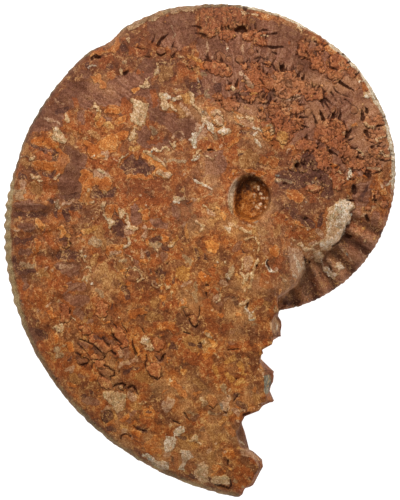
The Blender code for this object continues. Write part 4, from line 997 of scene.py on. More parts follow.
relief -= CRUST_STEP * ease(inner_turn, -0.6, 1.2) * (1 - ease(from_crust, 2, 10))
# How far each cell lies below its softened surroundings: the material paints shade where this is deep, and a
# highlight where it is below zero, on crests.
plans["hollow"] = softened(relief, 7.0) - relief

# Where the surface needs more points: along each of these from its outermost to its innermost depth.
fine_marks = np.zeros(plan_across.shape)
for depth, outermost, innermost in ((leaf, -1.3, 0.8), (groove, -0.9, 9), (hole, -0.9, 9),
                                    (lobe, -0.9, 0.5), (scale, -0.9, 0.4)):
    fine_marks[(depth > outermost) & (depth < innermost)] = 1.0


def feed(tree, slot, value):
    """Gives a node's input a plain value or another node's output."""
    if isinstance(value, bpy.types.NodeSocket):
        tree.links.new(value, slot)
    else:
        slot.default_value = value


def add_node(tree, kind, settings=None, **inputs):
    """A node with its settings and its inputs, which are plain values or other nodes' outputs."""
    made = tree.nodes.new(kind)
    for key, value in (settings or {}).items():
        setattr(made, key, value)
    for key, value in inputs.items():
        feed(tree, made.inputs[key.replace("_", " ")], value)
    return made


def maths(tree, operation, *terms):
    """One step of arithmetic in a node tree."""
    step = add_node(tree, "ShaderNodeMath", {"operation": operation})
    for slot, term in zip(step.inputs, terms):
        feed(tree, slot, term)
    return step.outputs[0]


def times(tree, *terms):
    """Values multiplied together in a node tree."""
    return functools.reduce(functools.partial(maths, tree, "MULTIPLY"), terms)


def plus(tree, *terms):
    """Values added up in a node tree."""
    return functools.reduce(functools.partial(maths, tree, "ADD"), terms)


def minus(tree, value, less):
    """One value less another in a node tree."""
    return maths(tree, "SUBTRACT", value, less)


def vectors(tree, operation, *terms):
    """One step of vector arithmetic in a node tree."""
    step = add_node(tree, "ShaderNodeVectorMath", {"operation": operation})
    slots = (step.inputs[0], step.inputs[3]) if operation == "SCALE" else step.inputs
    for slot, term in zip(slots, terms):
        feed(tree, slot, term)
    return step.outputs["Vector"]


def eased(tree, value, low, high, start=0.0, end=1.0):
    """A smooth step in a node tree, from start at low to end at high."""
    made = add_node(tree, "ShaderNodeMapRange", {"interpolation_type": "SMOOTHSTEP"}, Value=value,
                    From_Min=low, From_Max=high, To_Min=start, To_Max=end)
    return made.outputs["Result"]


def coil_tree():
    """Node tree of the stone's form: smooths the facets and raises ribs and keel knobs along the coil."""
    tree = bpy.data.node_groups.new("coiled_shell", "GeometryNodeTree")
    tree.interface.new_socket("Geometry", in_out="INPUT", socket_type="NodeSocketGeometry")
    smoothing = tree.interface.new_socket("Smoothing steps", in_out="INPUT", socket_type="NodeSocketInt")
    smoothing.default_value = SMOOTHING_STEPS
    for name, value in (("Rib spacing", RIB_SPACING), ("Young rib height", RIB_HEIGHT),
                        ("Old rib height", OLD_RIB_HEIGHT), ("Old rib spacing", OLD_RIB_SPACING),
                        ("Old rib start", OLD_RIB_TURN), ("Keel knob spacing", KNOB_SPACING),
                        ("Keel knob height", KNOB_HEIGHT)):
        socket = tree.interface.new_socket(name, in_out="INPUT", socket_type="NodeSocketFloat")
        socket.default_value = value
    tree.interface.new_socket("Material", in_out="INPUT", socket_type="NodeSocketMaterial")
    tree.interface.new_socket("Geometry", in_out="OUTPUT", socket_type="NodeSocketGeometry")
    given = tree.nodes.new("NodeGroupInput").outputs
    place = add_node(tree, "GeometryNodeInputPosition").outputs[0]
    soft, bared, worn = (
        add_node(tree, "GeometryNodeInputNamedAttribute", {"data_type": "FLOAT"}, Name=name).outputs[0]
        for name in ("soft", "bared", "worn"))

    def blurred(value):
        """Evens out a vector over the surface, where the surface is soft."""
        node = add_node(tree, "GeometryNodeBlurAttribute", {"data_type": "FLOAT_VECTOR"})
        tree.links.new(value, [slot for slot in node.inputs if slot.type == "VECTOR"][0])
        tree.links.new(given["Smoothing steps"], node.inputs["Iterations"])
        tree.links.new(soft, node.inputs["Weight"])
        return [slot for slot in node.outputs if slot.type == "VECTOR"][0]

    smooth = blurred(place)
    kept_bulk = vectors(tree, "ADD", smooth, blurred(vectors(tree, "SUBTRACT", place, smooth)))
    smoothed = add_node(tree, "GeometryNodeSetPosition", Geometry=given["Geometry"], Position=kept_bulk)

    parted = add_node(tree, "ShaderNodeSeparateXYZ", Vector=place).outputs
    right, far = minus(tree, parted["X"], COIL_AXIS[0]), minus(tree, parted["Y"], COIL_AXIS[1])
    out = maths(tree, "SQRT", plus(tree, times(tree, right, right), times(tree, far, far)))
    angle = maths(tree, "ARCTAN2", times(tree, right, -1.0), times(tree, far, -1.0))
    turn = maths(tree, "WRAP", maths(tree, "DEGREES", angle), 360.0 + FIRST_TURN, FIRST_TURN)
    size = maths(tree, "POWER", WHORL_EXPANSION, maths(tree, "DIVIDE", turn, -360.0))
    share = maths(tree, "DIVIDE", maths(tree, "DIVIDE", out, size), KEEL_RADIUS)
    swept = plus(tree, turn, times(tree, minus(tree, share, 0.5), -RIB_SWEEP))

    def wave(spacing, start=0.0):
        """A smooth up and down along the coil, once in each spacing of degrees, highest at the start."""
        along = maths(tree, "DIVIDE", minus(tree, swept, start), spacing)
        return maths(tree, "COSINE", times(tree, along, 2 * math.pi))

    young = times(tree, given["Young rib height"], eased(tree, share, 0.62, 0.85), worn,
                  eased(tree, share, 1.0, 0.9), wave(given["Rib spacing"]))
    old = times(tree, given["Old rib height"], bared, eased(tree, share, 1.0, 0.95),
                wave(given["Old rib spacing"], given["Old rib start"]))
    knobs = times(tree, given["Keel knob height"], worn, eased(tree, share, 0.95, 0.99),
                  wave(given["Keel knob spacing"]))
    outward = add_node(tree, "GeometryNodeInputNormal").outputs[0]
    raised = vectors(tree, "SCALE", outward, plus(tree, young, old, knobs))
    ribbed = add_node(tree, "GeometryNodeSetPosition", Geometry=smoothed.outputs[0], Offset=raised)
    realized = add_node(tree, "GeometryNodeRealizeInstances", Geometry=ribbed.outputs[0])
    coloured = add_node(tree, "GeometryNodeSetMaterial", Geometry=realized.outputs[0],
                        Material=given["Material"])
    tree.links.new(coloured.outputs[0], tree.nodes.new("NodeGroupOutput").inputs[0])
    return tree


def apply_tree(piece, tree, **values):
    """Runs a node tree on a piece and keeps the result as its mesh."""
    modifier = piece.modifiers.new(tree.name, "NODES")
    modifier.node_group = tree
    for item in tree.interface.items_tree:
        key = item.name.replace(" ", "_")
        if item.in_out == "INPUT" and key in values:
            modifier[item.identifier] = values[key]
    settle(piece)


def flank_place(points, normals):
    """Plan places for the upper side and the underside, and how far each point is on the upper side.
    The underside takes the marks from a little farther along the coil, turned about its axis."""
    across, down = photo_place(points)
    axis_across = PHOTO_WIDTH / 2 + COIL_AXIS[0] / PIXEL
    axis_down = PHOTO_HEIGHT / 2 - (COIL_AXIS[1] - MIDDLE_Y) / PIXEL
    right, low = across - axis_across, down - axis_down
    size = WHORL_EXPANSION ** (-UNDERSIDE_TURN / 360)
    angle = math.radians(UNDERSIDE_TURN)
    cosine, sine = size * math.cos(angle), size * math.sin(angle)
    under_across = axis_across + right * cosine - low * sine
    under_down = axis_down + right * sine + low * cosine
    return across, down, under_across, under_down, ease(normals[:, 2], -0.3, 0.0)


fossil_stone = bpy.data.materials.new("fossil_stone")
rough_cut = bmesh.new()
rough_cut.from_mesh(bpy.data.objects["ammonite"].data)
bmesh.ops.remove_doubles(rough_cut, verts=rough_cut.verts, dist=0.002 * MM)
stone = linked("fossil_ammonite", bpy.data.meshes.new("fossil_ammonite"))
rough_cut.to_mesh(stone.data)
rough_cut.free()
even = stone.modifiers.new("even_points", "REMESH")
even.mode = "VOXEL"
even.voxel_size = POINT_SPACING
settle(stone)

# The cliff, the broken end and the edge of the umbilicus stay firm while the rest is smoothed.
FIRM_PX, FIRM_SHARE, PIT_EDGE, PIT_EDGE_WIDTH = 12, 0.92, 0.95, 0.3
BARED_RIBS_PX = (196, 238)
points = per_point(stone.data, "co")
across, down = photo_place(points)
turn, share = coil_place(points)
from_break = line_distance(across, down, BROKEN_EDGE_PX)
from_cliff = line_distance(across, down, CRUST_EDGE_PX[:5])
off_pit = np.abs(pit_share(across, down) - PIT_EDGE)
firmness = np.maximum(1 - from_break / FIRM_PX, (past_break(across, down) > -4) * (down > NOTCH_PX[1]))
firmness = np.maximum(firmness, 1 - from_cliff / FIRM_PX)
firmness = np.clip(np.maximum(firmness, 1 - off_pit / PIT_EDGE_WIDTH), 0.0, 1.0)
store(stone.data, "soft", 1 - FIRM_SHARE * firmness)
upper = ease(per_point(stone.data, "normal")[:, 2], -0.1, 0.2)
bared = upper * ease(sampled(inner_turn, across, down), -1, 4) * ease(down, *BARED_RIBS_PX)
store(stone.data, "bared", bared)
kept_folds = 1 + 3.5 * np.exp(-((turn - FOLDS_TURN) / FOLDS_SPAN) ** 2)
store(stone.data, "worn", np.clip(0.7 + 0.5 * cloud(points, 12 * MM, 41), 0.2, 1.2) * kept_folds)
apply_tree(stone, coil_tree(), Material=fossil_stone)

# The chips of the broken end, which move its edge and fade out over this many pixels behind it.
CHIP_FADE_PX = 20
points = per_point(stone.data, "co")
across, down = photo_place(points)
chip_down, chip_edge, chip_move = zip(*CHIPS_PX)
broken_edge = np.interp(down, chip_down, chip_edge)
moved = np.interp(down, chip_down, chip_move)
points[:, 0] += ease(across, broken_edge - CHIP_FADE_PX, broken_edge) * moved * PIXEL
move_points(stone.data, points)


def finely_marked(piece):
    """Which points lie at the edge of a leaf or a cut, where the surface needs more points."""
    across, down = photo_place(per_point(piece, "co"))
    return (sampled(fine_marks, across, down) > 0.3) & (per_point(piece, "normal")[:, 2] > 0.3)


dense = bmesh.new()
dense.from_mesh(stone.data)
chosen = finely_marked(stone.data)
dense.verts.ensure_lookup_table()
edges = [edge for edge in dense.edges if chosen[edge.verts[0].index] and chosen[edge.verts[1].index]]
bmesh.ops.subdivide_edges(dense, edges=edges, cuts=1, use_grid_fill=True)
dense.to_mesh(stone.data)
dense.free()

# The relief, raised along each point's own outward way, and rougher in the umbilicus, which has a
# ledge on its left side.
LEDGE_SLANT, LEDGE_PX, LEDGE_HEIGHT = 0.15, (269, 262), 0.9
FOOT_HEIGHT = 0.6 * MM
points, normals = per_point(stone.data, "co"), per_point(stone.data, "normal")
across, down, under_across, under_down, upper = flank_place(points, normals)
flatness = ease(np.abs(normals[:, 2]), 0.1, 0.45)
height = upper * sampled(relief, across, down) + (1 - upper) * 0.7 * sampled(relief, under_across, under_down)
side_relief = 0.10 * cloud(points, 3 * MM, 51, 2) + 0.03 * cloud(points, 0.8 * MM, 52)
height = height * flatness + side_relief * (1 - flatness)
turn, share = coil_place(points)
height += 0.07 * growth_lines(turn, share) * upper * ease(share, 0.45, 0.7)
from_pit = pit_share(across, down)
crusty = 0.24 * cloud(points, 0.8 * MM, 53, 3)
height += upper * ease(from_pit, 0.92, 0.7) * (crusty - PIT_DEEPER)
pit_ledge = LEDGE_HEIGHT * upper * ease(across + LEDGE_SLANT * down, *LEDGE_PX)
height += pit_ledge * ease(from_pit, 1.05, 0.9) * ease(from_pit, 0.5, 0.75)
height *= ease(points[:, 2], 0.0, FOOT_HEIGHT)
points += normals * height[:, None] * MM
points[:, 2] = np.maximum(points[:, 2], 0.0)
move_points(stone.data, points)

# Triangles are spared where little shows: least at the fine marks, and most on the underside.
FINE_SPARED, FLANK_SPARED, REST_SPARED = 0.03, 0.25, 1.0
spare = stone.vertex_groups.new(name="spare")
fine = finely_marked(stone.data)
flank = (upper * (flatness + ease(share, 0.93, 0.95)) > 0.5) & ~fine
for weight, chosen in ((FINE_SPARED, fine), (FLANK_SPARED, flank), (REST_SPARED, ~fine & ~flank)):
    spare.add(np.flatnonzero(chosen).tolist(), weight, "REPLACE")
fewer = stone.modifiers.new("fewer_triangles", "DECIMATE")
fewer.ratio = TRIANGLES / sum(len(face.vertices) - 2 for face in stone.data.polygons)
fewer.vertex_group = "spare"
fewer.use_collapse_triangulate = True
settle(stone)
stone.vertex_groups.clear()
stone.data.shade_smooth()

# What the material reads at each point: the marks of the plan, and places on the coil. Each pair says
# where something starts and where it is whole, in photo pixels or in degrees round the coil.
BREAK_TOP_PX, BARED_COLOUR_PX = (305, 313), (200, 236)
PIT_SHADE_PX, PIT_WALL_PX, SHELF_PX = (256, 242), (266, 262), (205, 195)
GEMS_RIGHT_PX, GEMS_TOP_PX = (252, 256), (214, 208)
FRINGE_START, FRINGE_WIDENS, FRINGE_END = (172, 186), (222, 236), (282, 268)
FRINGE_PX, FRINGE_MORE_PX, FRINGE_FADE_PX = 5.5, 1.5, 3.5
points, normals = per_point(stone.data, "co"), per_point(stone.data, "normal")
across, down, under_across, under_down, upper = flank_place(points, normals)
turn, share = coil_place(points)
beyond = past_break(across, down)
from_pit = pit_share(across, down)
for name, values in plans.items():
    here = upper * sampled(values, across, down) + (1 - upper) * sampled(values, under_across, under_down)
    store(stone.data, name, here if name == "hollow" else np.clip(0.5 + here / REACH_PX, 0, 1))
inward = (1 - share) * KEEL_RADIUS * WHORL_EXPANSION ** (-turn / 360) / PIXEL
fringe_width = FRINGE_PX + FRINGE_MORE_PX * ease(turn, *FRINGE_WIDENS)
inward += 1.6 * cloud(points, 3 * MM, 62, 2)
fringe = ease(inward, fringe_width, fringe_width - FRINGE_FADE_PX)
fringe *= ease(turn, *FRINGE_START) * ease(turn, *FRINGE_END) * ease(cloud(points, 5 * MM, 63), -0.7, 0.1)
swept = turn - RIB_SWEEP * (share - 0.5)
kept_places = {
    "rim": ease(share, 0.95, 0.99) * (beyond < 0),
    "fringe": fringe * upper,
    "growth": growth_lines(turn, share),
    # 1 midway between old rib crests, where the material paints shade, and 0 at the crests, where it paints a
    # highlight.
    "furrow": 0.5 - 0.5 * np.cos(2 * math.pi * (swept - OLD_RIB_TURN) / OLD_RIB_SPACING),
    "turn": turn / 360,
    # The broken end's face, which the material darkens as painted shade.
    "broken": ease(beyond, -1, 1) * ease(down, *BREAK_TOP_PX),
    "bared": upper * ease(sampled(inner_turn, across, down), -1, 2) * ease(down, *BARED_COLOUR_PX),
    "pit": ease(from_pit, 1.02, 0.94) * upper,
    # A shadow painted over the window's side of the umbilicus.
    "pit_shade": ease(down + 0.25 * across, *PIT_SHADE_PX) * ease(from_pit, 1.06, 0.98),
    "pit_wall": ease(across + LEDGE_SLANT * down, *PIT_WALL_PX)
    * ease(from_pit, 1.1, 1.02) * ease(from_pit, 0.72, 0.84),
    # The steep faces in the upper part of the umbilicus, which the material darkens as painted shade.
    "shelf": ease(normals[:, 2], 0.75, 0.25) * ease(from_pit, 1.25, 1.1) * ease(down, *SHELF_PX),
    "pit_gems": ease(across, *GEMS_RIGHT_PX) * ease(from_pit, 1.0, 0.9) * ease(down, *GEMS_TOP_PX),
}
for name, values in kept_places.items():
    store(stone.data, name, values)


def srgb(red, green, blue):
    """A colour from its 0-255 screen values."""
    return tuple(((part / 255 + 0.055) / 1.055) ** 2.4 for part in (red, green, blue)) + (1.0,)


def speckle(tree, place, size, detail=2.0, seed=0.0, rough=0.5, bent=0.0):
    """Cloudy noise between 0 and 1 whose patches are about size millimetres wide."""
    made = add_node(tree, "ShaderNodeTexNoise", {"noise_dimensions": "4D"}, Vector=place, W=seed,
                    Scale=1 / size, Detail=detail, Roughness=rough, Distortion=bent)
    return made.outputs["Fac"]


def blend(tree, share, under, over, kind="MIX"):
    """One colour laid over another by a share."""
    made = add_node(tree, "ShaderNodeMix", {"data_type": "RGBA", "blend_type": kind})
    for slot, value in ((0, share), (6, under), (7, over)):
        feed(tree, made.inputs[slot], value)
    return made.outputs[2]


def grain_group():
    """Node group of the stone's fine texture: its cloudy tone, its grain as a tint, and its roughness."""
    group = bpy.data.node_groups.new("rusty_grain", "ShaderNodeTree")
    group.interface.new_socket("Place", in_out="INPUT", socket_type="NodeSocketVector")
    place = group.nodes.new("NodeGroupInput").outputs["Place"]
    broad = speckle(group, place, 5.0, 2.0, 1.0)
    middle = speckle(group, place, 1.7, 3.0, 2.0, 0.6, 0.6)
    fine = speckle(group, place, 0.55, 2.0, 3.0, 0.6, 0.3)
    grain = speckle(group, place, 0.24, 1.0, 4.0)
    jitter = add_node(group, "ShaderNodeTexNoise", {}, Vector=place, Scale=1.4, Detail=2.0).outputs["Color"]
    jittered = vectors(group, "ADD", place, vectors(group, "SCALE", jitter, 1.6))
    tone = plus(group, times(group, middle, 0.52), times(group, fine, 0.34))
    for size in (0.55, 1.2):
        mosaic = add_node(group, "ShaderNodeTexVoronoi", {}, Vector=jittered, Scale=size)
        chip = add_node(group, "ShaderNodeSeparateColor", Color=mosaic.outputs["Color"]).outputs[0]
        tone = plus(group, tone, times(group, chip, 0.09))
    ragged = plus(group, times(group, fine, 0.5), times(group, middle, 0.5))
    shade = plus(group, times(group, grain, 1.8), times(group, fine, 0.3), -0.045)
    tint = add_node(group, "ShaderNodeCombineColor", Red=shade, Green=maths(group, "POWER", shade, 1.4),
                    Blue=maths(group, "POWER", shade, 2.1))
    height = plus(group, times(group, fine, 0.6), times(group, grain, 0.4))
    results = {"Broad": broad, "Middle": middle, "Tone": minus(group, tone, 0.02),
               "Ragged": minus(group, ragged, 0.5), "Grain": tint.outputs[0], "Height": height}
    for name in results:
        kind = "NodeSocketColor" if name == "Grain" else "NodeSocketFloat"
        group.interface.new_socket(name, in_out="OUTPUT", socket_type=kind)
    outcome = group.nodes.new("NodeGroupOutput").inputs
    for name, value in results.items():
        group.links.new(value, outcome[name])
    return group


fossil_stone.use_nodes = True
tree = fossil_stone.node_tree
surface = tree.nodes["Principled BSDF"]
place = vectors(tree, "SCALE", add_node(tree, "ShaderNodeTexCoord").outputs["Object"], 1 / MM)
grain = add_node(tree, "ShaderNodeGroup", {"node_tree": grain_group()}, Place=place).outputs
mottle = speckle(tree, place, 2.4, 2.0, 11.0, 0.55, 0.9)
WIDE_TONES = (0.32, 0.5, 0.68)


def attribute(name):
    """A number that each point of the stone keeps."""
    return add_node(tree, "ShaderNodeAttribute", {"attribute_name": name}).outputs["Fac"]


def mark(name, low, high, start=0.0, end=1.0):
    """An eased share of a number that each point keeps."""
    return eased(tree, attribute(name), low, high, start, end)


def most(first, second):
    """The larger of two shares."""
    return maths(tree, "MAXIMUM", first, second)


def thin_line(value, middle, wide, narrow, strength=1.0):
    """A thin line where a value passes its middle."""
    return eased(tree, maths(tree, "ABSOLUTE", minus(tree, value, middle)), wide, narrow, 0.0, strength)


def shades(*colours, places=(0.34, 0.5, 0.66), by=grain["Tone"]):
    """A colour that runs through others as a value rises, such as the stone's cloudy tone."""
    ramp = tree.nodes.new("ShaderNodeValToRGB")
    tree.links.new(by, ramp.inputs[0])
    elements = ramp.color_ramp.elements
    while len(elements) < len(colours):
        elements.new(0.5)
    for element, position, colour in zip(elements, places, colours):
        element.position = position
        element.color = srgb(*colour)
    return ramp.outputs["Color"]


class Coat:
    """The stone's colour and fine height so far, over which each mark is laid."""

    def __init__(self, colour, height):
        self.colour, self.height = colour, height
        self.crisp = eased(tree, attribute("turn"), 0.06, 0.2, 0.35, 1.0)
        self.patchy = eased(tree, grain["Middle"], 0.42, 0.52)

    def wash(self, over, *shares):
        """Lays screen values or a node's colour over the stone, by all the shares multiplied."""
        if not isinstance(over, bpy.types.NodeSocket):
            over = srgb(*over)
        self.colour = blend(tree, times(tree, *shares), self.colour, over)

    def stain(self, name, low, high, colours, strength, raggedness=0.8, proud=0.3, lined=0.0,
              places=(0.34, 0.5, 0.66)):
        """Lays a mark's own shades over the stone, with ragged edges, and lets it stand a little proud.
        Where it is lined, a pale edge runs inside it and a dark one outside: a painted highlight and painted
        shade, as on a raised edge."""
        edge = plus(tree, attribute(name), times(tree, grain["Ragged"], raggedness))
        middle = (low + high) / 2
        step = times(tree, eased(tree, edge, middle - 0.1, middle + 0.1), self.crisp)
        self.height = plus(tree, self.height, times(tree, step, proud))
        over = shades(*colours, places=places)
        if lined:
            # The lining: painted shade outside the edge and a painted highlight inside it.
            here = times(tree, self.patchy, lined, self.crisp)
            self.wash((88, 44, 24), eased(tree, edge, middle - 0.26, middle - 0.04), here, 0.8)
            inside = times(tree, eased(tree, edge, middle + 0.24, middle + 0.10), here, 0.6)
            over = blend(tree, inside, over, srgb(226, 176, 122))
        self.wash(over, eased(tree, edge, low, high, 0.0, strength))


# The bare stone, and the smooth, mauve floors of the chambers.
rusty = shades((92, 50, 28), (126, 76, 46), (146, 92, 60), (160, 106, 70), (196, 150, 110),
               places=(0.32, 0.42, 0.50, 0.58, 0.68))
warm = shades((104, 52, 24), (146, 80, 40), (172, 100, 52), (200, 142, 88), places=(0.32, 0.45, 0.55, 0.68))
bare_stone = blend(tree, eased(tree, grain["Broad"], 0.44, 0.56), rusty, warm)
coat = Coat(bare_stone, times(tree, grain["Height"], 0.5))
coat.wash(shades((106, 64, 44), (134, 86, 62), (158, 112, 84)), eased(tree, mottle, 0.42, 0.40, 0.0, 0.5))
coat.wash(shades((138, 74, 38), (176, 104, 56), (204, 138, 82)), eased(tree, mottle, 0.555, 0.575, 0.0, 0.6))
coat.stain("mauve", 0.40, 0.62, ((110, 69, 54), (140, 92, 74), (165, 118, 99)), 0.94, proud=-0.3,
           places=WIDE_TONES)
in_chamber = mark("mauve", 0.4, 0.62)
off_chamber = mark("mauve", 0.62, 0.40, 0.2, 1.0)
coat.wash((170, 126, 106), mark("growth", 0.05, 0.6), in_chamber, 0.55)
coat.wash((100, 60, 44), mark("growth", -0.1, -0.6), in_chamber, 0.5)
dusky, dusty = mark("dusky", 0.1, 0.8), mark("dusty", 0.1, 0.8)
coat.wash(shades((84, 48, 36), (112, 68, 50), (142, 96, 74), places=WIDE_TONES), dusky, 0.55)
dust = blend(tree, in_chamber, shades((126, 86, 56), (172, 124, 86), (208, 168, 128), places=WIDE_TONES),
             shades((132, 84, 60), (174, 118, 88), (202, 150, 118), places=WIDE_TONES))
coat.wash(dust, dusty, 0.45)

# The rusty stains, and the leaves and lobes of the seams with their scales.
coat.stain("rust", 0.40, 0.60, ((126, 64, 32), (158, 84, 42), (184, 108, 60)), 0.85, proud=0.15)
coat.stain("tan", 0.40, 0.60, ((138, 92, 54), (174, 122, 76), (204, 158, 108)), 0.8, 1.0, lined=0.35)
coat.stain("orange", 0.46, 0.52, ((154, 80, 34), (189, 109, 51), (214, 140, 77)), 0.94, proud=0.6, lined=0.6)
coat.stain("leaf", 0.46, 0.54, ((134, 76, 50), (170, 100, 66), (198, 134, 94)), 0.94, 0.2, 0.5)
coat.stain("lobe", 0.50, 0.60, ((122, 74, 54), (146, 94, 68), (168, 118, 84)), 0.85, 0.2)
scale_colour = shades((132, 80, 56), (166, 98, 62), (188, 116, 72), (204, 150, 108),
                      places=(0.0, 0.5, 0.8, 1.0), by=attribute("scale_shade"))
coat.wash(scale_colour, mark("scale", 0.95, 0.9), 0.6)

# The bared inner turn, with painted shade in the furrows between its ribs and a painted highlight on their
# crests.
bared = attribute("bared")
coat.wash(shades((110, 66, 48), (152, 100, 76), (184, 134, 106), places=WIDE_TONES), bared, 0.7)
coat.wash((66, 34, 22), mark("furrow", 0.62, 0.97), bared, 0.8)
coat.wash((196, 142, 112), mark("furrow", 0.3, 0.0), bared, 0.5)

# The later stains, and the flakes of shell with their flaws.
coat.stain("purple", 0.45, 0.56, ((72, 44, 40), (98, 60, 50), (128, 86, 72)), 0.9, proud=-0.5)
coat.stain("grey", 0.42, 0.58, ((116, 92, 68), (156, 130, 102), (190, 166, 138)), 0.7, 1.2)
coat.stain("yellow", 0.44, 0.57, ((160, 100, 50), (194, 138, 76), (220, 172, 112)), 0.8, 1.1, lined=0.4)
coat.stain("bright", 0.47, 0.53, ((180, 104, 50), (210, 136, 72), (232, 172, 110)), 0.88, 0.8, 0.4, 0.5)
coat.stain("pinkish", 0.46, 0.54, ((150, 104, 80), (184, 140, 112), (212, 176, 148)), 0.85, 1.1)
coat.stain("cream", 0.43, 0.57, ((160, 118, 84), (194, 154, 116), (214, 180, 142), (232, 208, 178)),
           0.9, 1.5, 0.5, 0.5, places=(0.34, 0.46, 0.56, 0.68))
coat.stain("calcite", 0.43, 0.57, ((146, 114, 90), (190, 166, 142), (214, 196, 174), (244, 232, 216)),
           0.93, 1.5, places=(0.32, 0.44, 0.55, 0.68))
coat.stain("slate", 0.46, 0.55, ((70, 70, 64), (116, 116, 108), (174, 176, 168)), 0.9, 0.6)
shell = most(mark("cream", 0.5, 0.64), mark("calcite", 0.5, 0.64))
flaked = speckle(tree, place, 1.1, 2.0, 13.0, 0.6, 0.4)
coat.wash((164, 148, 116), shell, eased(tree, flaked, 0.52, 0.57, 0.0, 0.6))
coat.wash((224, 194, 168), shell, eased(tree, flaked, 0.45, 0.41, 0.0, 0.5))
flaws = speckle(tree, place, 1.6, 3.0, 14.0, 0.6, 0.5)
coat.wash((140, 94, 62), shell, thin_line(flaws, 0.5, 0.016, 0.004, 0.7))

# Dust and dusk over the stains, and thin pale lines of calcite.
coat.wash((92, 54, 38), dusky, 0.36)
coat.wash((204, 156, 120), dusty, 0.22)
threads = speckle(tree, place, 3.0, 3.0, 12.0, 0.6, 0.8)
filaments = times(tree, thin_line(threads, 0.5, 0.020, 0.006), eased(tree, grain["Middle"], 0.47, 0.56))
coat.wash((212, 168, 122), filaments, off_chamber, 0.6)
rings = times(tree, thin_line(mottle, 0.548, 0.022, 0.006), eased(tree, grain["Middle"], 0.45, 0.52))
coat.wash((208, 158, 112), rings, off_chamber, 0.45)

# The umbilicus: a rusty crust with small gems of calcite, with a painted shadow on the window's side.
pit_crust = shades((80, 38, 14), (136, 74, 28), (172, 104, 44), (206, 150, 100),
                   places=(0.38, 0.46, 0.54, 0.64))
coat.wash(pit_crust, attribute("pit"))
gems = add_node(tree, "ShaderNodeTexVoronoi", {}, Vector=place, Scale=1.1).outputs["Distance"]
coat.wash((226, 196, 170), eased(tree, gems, 0.38, 0.28), attribute("pit_gems"))
coat.wash((86, 44, 20), eased(tree, gems, 0.5, 0.62), attribute("pit_gems"), 0.6)
# Painted shadow spots in the upper part of the umbilicus.
coat.wash((66, 30, 18), eased(tree, plus(tree, attribute("pit_spots"), grain["Ragged"]), 0.4, 0.6), 0.8)
coat.wash(shades((160, 134, 112), (214, 196, 178), places=(0.35, 0.6)), attribute("pit_wall"), 0.75)
# Painted shadow on the window's side of the umbilicus.
coat.wash((60, 38, 18), attribute("pit_shade"), 0.75)

# The rim: a grey edge of worn shell along the keel, whose shade and width change along the coil.
turned = attribute("turn")
rim_shades = srgb(112, 98, 72)
# The last and darkest shade, on the lower right past three quarters of a turn, is partly the rim's own olive
# and partly painted shade on the side away from the window.
for start, whole, colour in ((0.14, 0.19, (160, 140, 106)), (0.252, 0.268, (104, 94, 74)),
                             (0.34, 0.40, (132, 118, 92)), (0.50, 0.60, (178, 156, 122)),
                             (0.75, 0.78, (80, 70, 54))):
    rim_shades = blend(tree, eased(tree, turned, start, whole), rim_shades, srgb(*colour))
rim_shades = blend(tree, eased(tree, mottle, 0.50, 0.56, 0.0, 0.4), rim_shades, srgb(184, 170, 140))
rim_wear = plus(tree, times(tree, grain["Middle"], 0.6), times(tree, grain["Broad"], 0.4))
rim_start = most(eased(tree, turned, 0.20, 0.15), eased(tree, turned, 0.252, 0.268))
rim_start = plus(tree, times(tree, rim_start, 0.42), 0.45)
shell_edge = times(tree, eased(tree, turned, 0.57, 0.61, 0.0, 0.12), eased(tree, turned, 0.77, 0.75))
rim_start = minus(tree, rim_start, plus(tree, shell_edge, eased(tree, turned, 0.79, 0.83, 0.0, 0.3)))
rim_start = plus(tree, rim_start, times(tree, minus(tree, rim_wear, 0.5), -1.6))
ragged_start = plus(tree, rim_start, times(tree, grain["Ragged"], 0.6))
rim = eased(tree, minus(tree, attribute("rim"), ragged_start), -0.22, 0.24)
rim = times(tree, rim, mark("cream", 0.54, 0.40))
coat.wash(rim_shades, rim, 0.85)
# A dark band just inside the rim: painted shade where the flank meets the rim.
behind = eased(tree, minus(tree, attribute("rim"), rim_start), -0.28, -0.06)
coat.wash((84, 46, 30), behind, minus(tree, 1.0, rim), eased(tree, grain["Broad"], 0.42, 0.52), 0.45)
fringed = eased(tree, plus(tree, attribute("fringe"), times(tree, grain["Ragged"], 1.6)), 0.3, 0.8)
coat.wash(shades((158, 138, 112), (196, 182, 158), (230, 220, 202), places=(0.36, 0.5, 0.64)), fringed, 0.75)

# Painted shade on the steep faces by the umbilicus and at the broken end; then painted shade in the cuts,
# holes and hollows, dark lines at the seam edges, partly painted shade, and a painted highlight on the
# crests.
steep = most(attribute("shelf"), attribute("broken"))
steep = times(tree, steep, *(mark(name, 0.55, 0.4) for name in ("slate", "pinkish", "calcite")))
# Painted shade on the steep faces, except where slate, pinkish stain or calcite lies.
coat.wash((108, 64, 40), steep, 0.45)
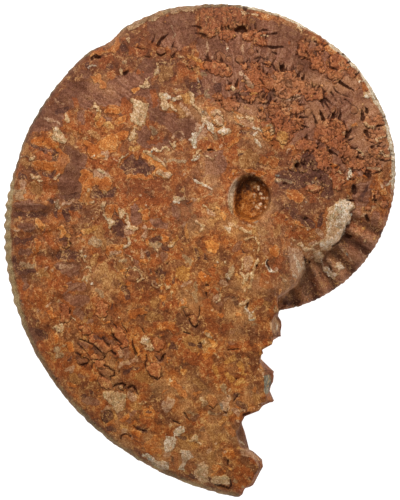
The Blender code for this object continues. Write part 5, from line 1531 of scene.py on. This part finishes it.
# Dark lines along the edges of leaves, lobes and scales: partly the seams' own dark lines, partly painted
# shade at their feet.
leaf_edge = thin_line(attribute("leaf"), 0.42, 0.12, 0.03, 0.8)
lobe_edge = thin_line(attribute("lobe"), 0.46, 0.11, 0.03)
scale_edge = thin_line(attribute("scale"), 0.42, 0.12, 0.04, 0.9)
outline = most(most(leaf_edge, lobe_edge), scale_edge)
outline = times(tree, outline, eased(tree, grain["Middle"], 0.38, 0.52), 0.85)
# Painted shade in the cuts, the holes and the hollows, joined to the seam lines.
dark = most(outline, most(mark("groove", 0.38, 0.56), mark("hole", 0.44, 0.62)))
dark = most(dark, times(tree, mark("hollow", 0.06, 0.5), mark("cream", 0.56, 0.44)))
coat.wash((60, 26, 10), dark, 0.88)
# A painted highlight on the crests.
coat.wash((220, 168, 120), mark("hollow", -0.06, -0.30), 0.3)
pale_chips = eased(tree, speckle(tree, place, 0.35, 1.0, 7.0), 0.66, 0.72)
coat.wash((212, 172, 134), pale_chips, mark("mauve", 0.6, 0.4, 0.1, 0.5))
coat.wash((82, 40, 20), eased(tree, speckle(tree, place, 0.36, 1.0, 8.0), 0.66, 0.72), 0.65)

# The grain, and the amber cast of the whole stone, which is fainter on its whiter marks.
colour = blend(tree, 1.0, coat.colour, grain["Grain"], "MULTIPLY")
amber = blend(tree, eased(tree, turned, 0.24, 0.10), (0.84, 0.755, 0.59, 1.0), (0.905, 0.775, 0.48, 1.0))
for name, whiteness in (("grey", 0.2), ("pinkish", 0.3), ("cream", 0.38), ("slate", 0.3), ("fringe", 0.6),
                        ("calcite", 0.7)):
    amber = blend(tree, mark(name, 0.44, 0.56, 0.0, whiteness), amber, (1.0, 0.97, 0.90, 1.0))
tree.links.new(blend(tree, 1.0, colour, amber, "MULTIPLY"), surface.inputs["Base Color"])
surface.inputs["Roughness"].default_value = 0.7
surface.inputs["Specular IOR Level"].default_value = 0.15
bump = add_node(tree, "ShaderNodeBump", Strength=0.8, Distance=0.25 * MM, Height=coat.height)
tree.links.new(bump.outputs["Normal"], surface.inputs["Normal"])

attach(stone, "root")
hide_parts("ammonite")
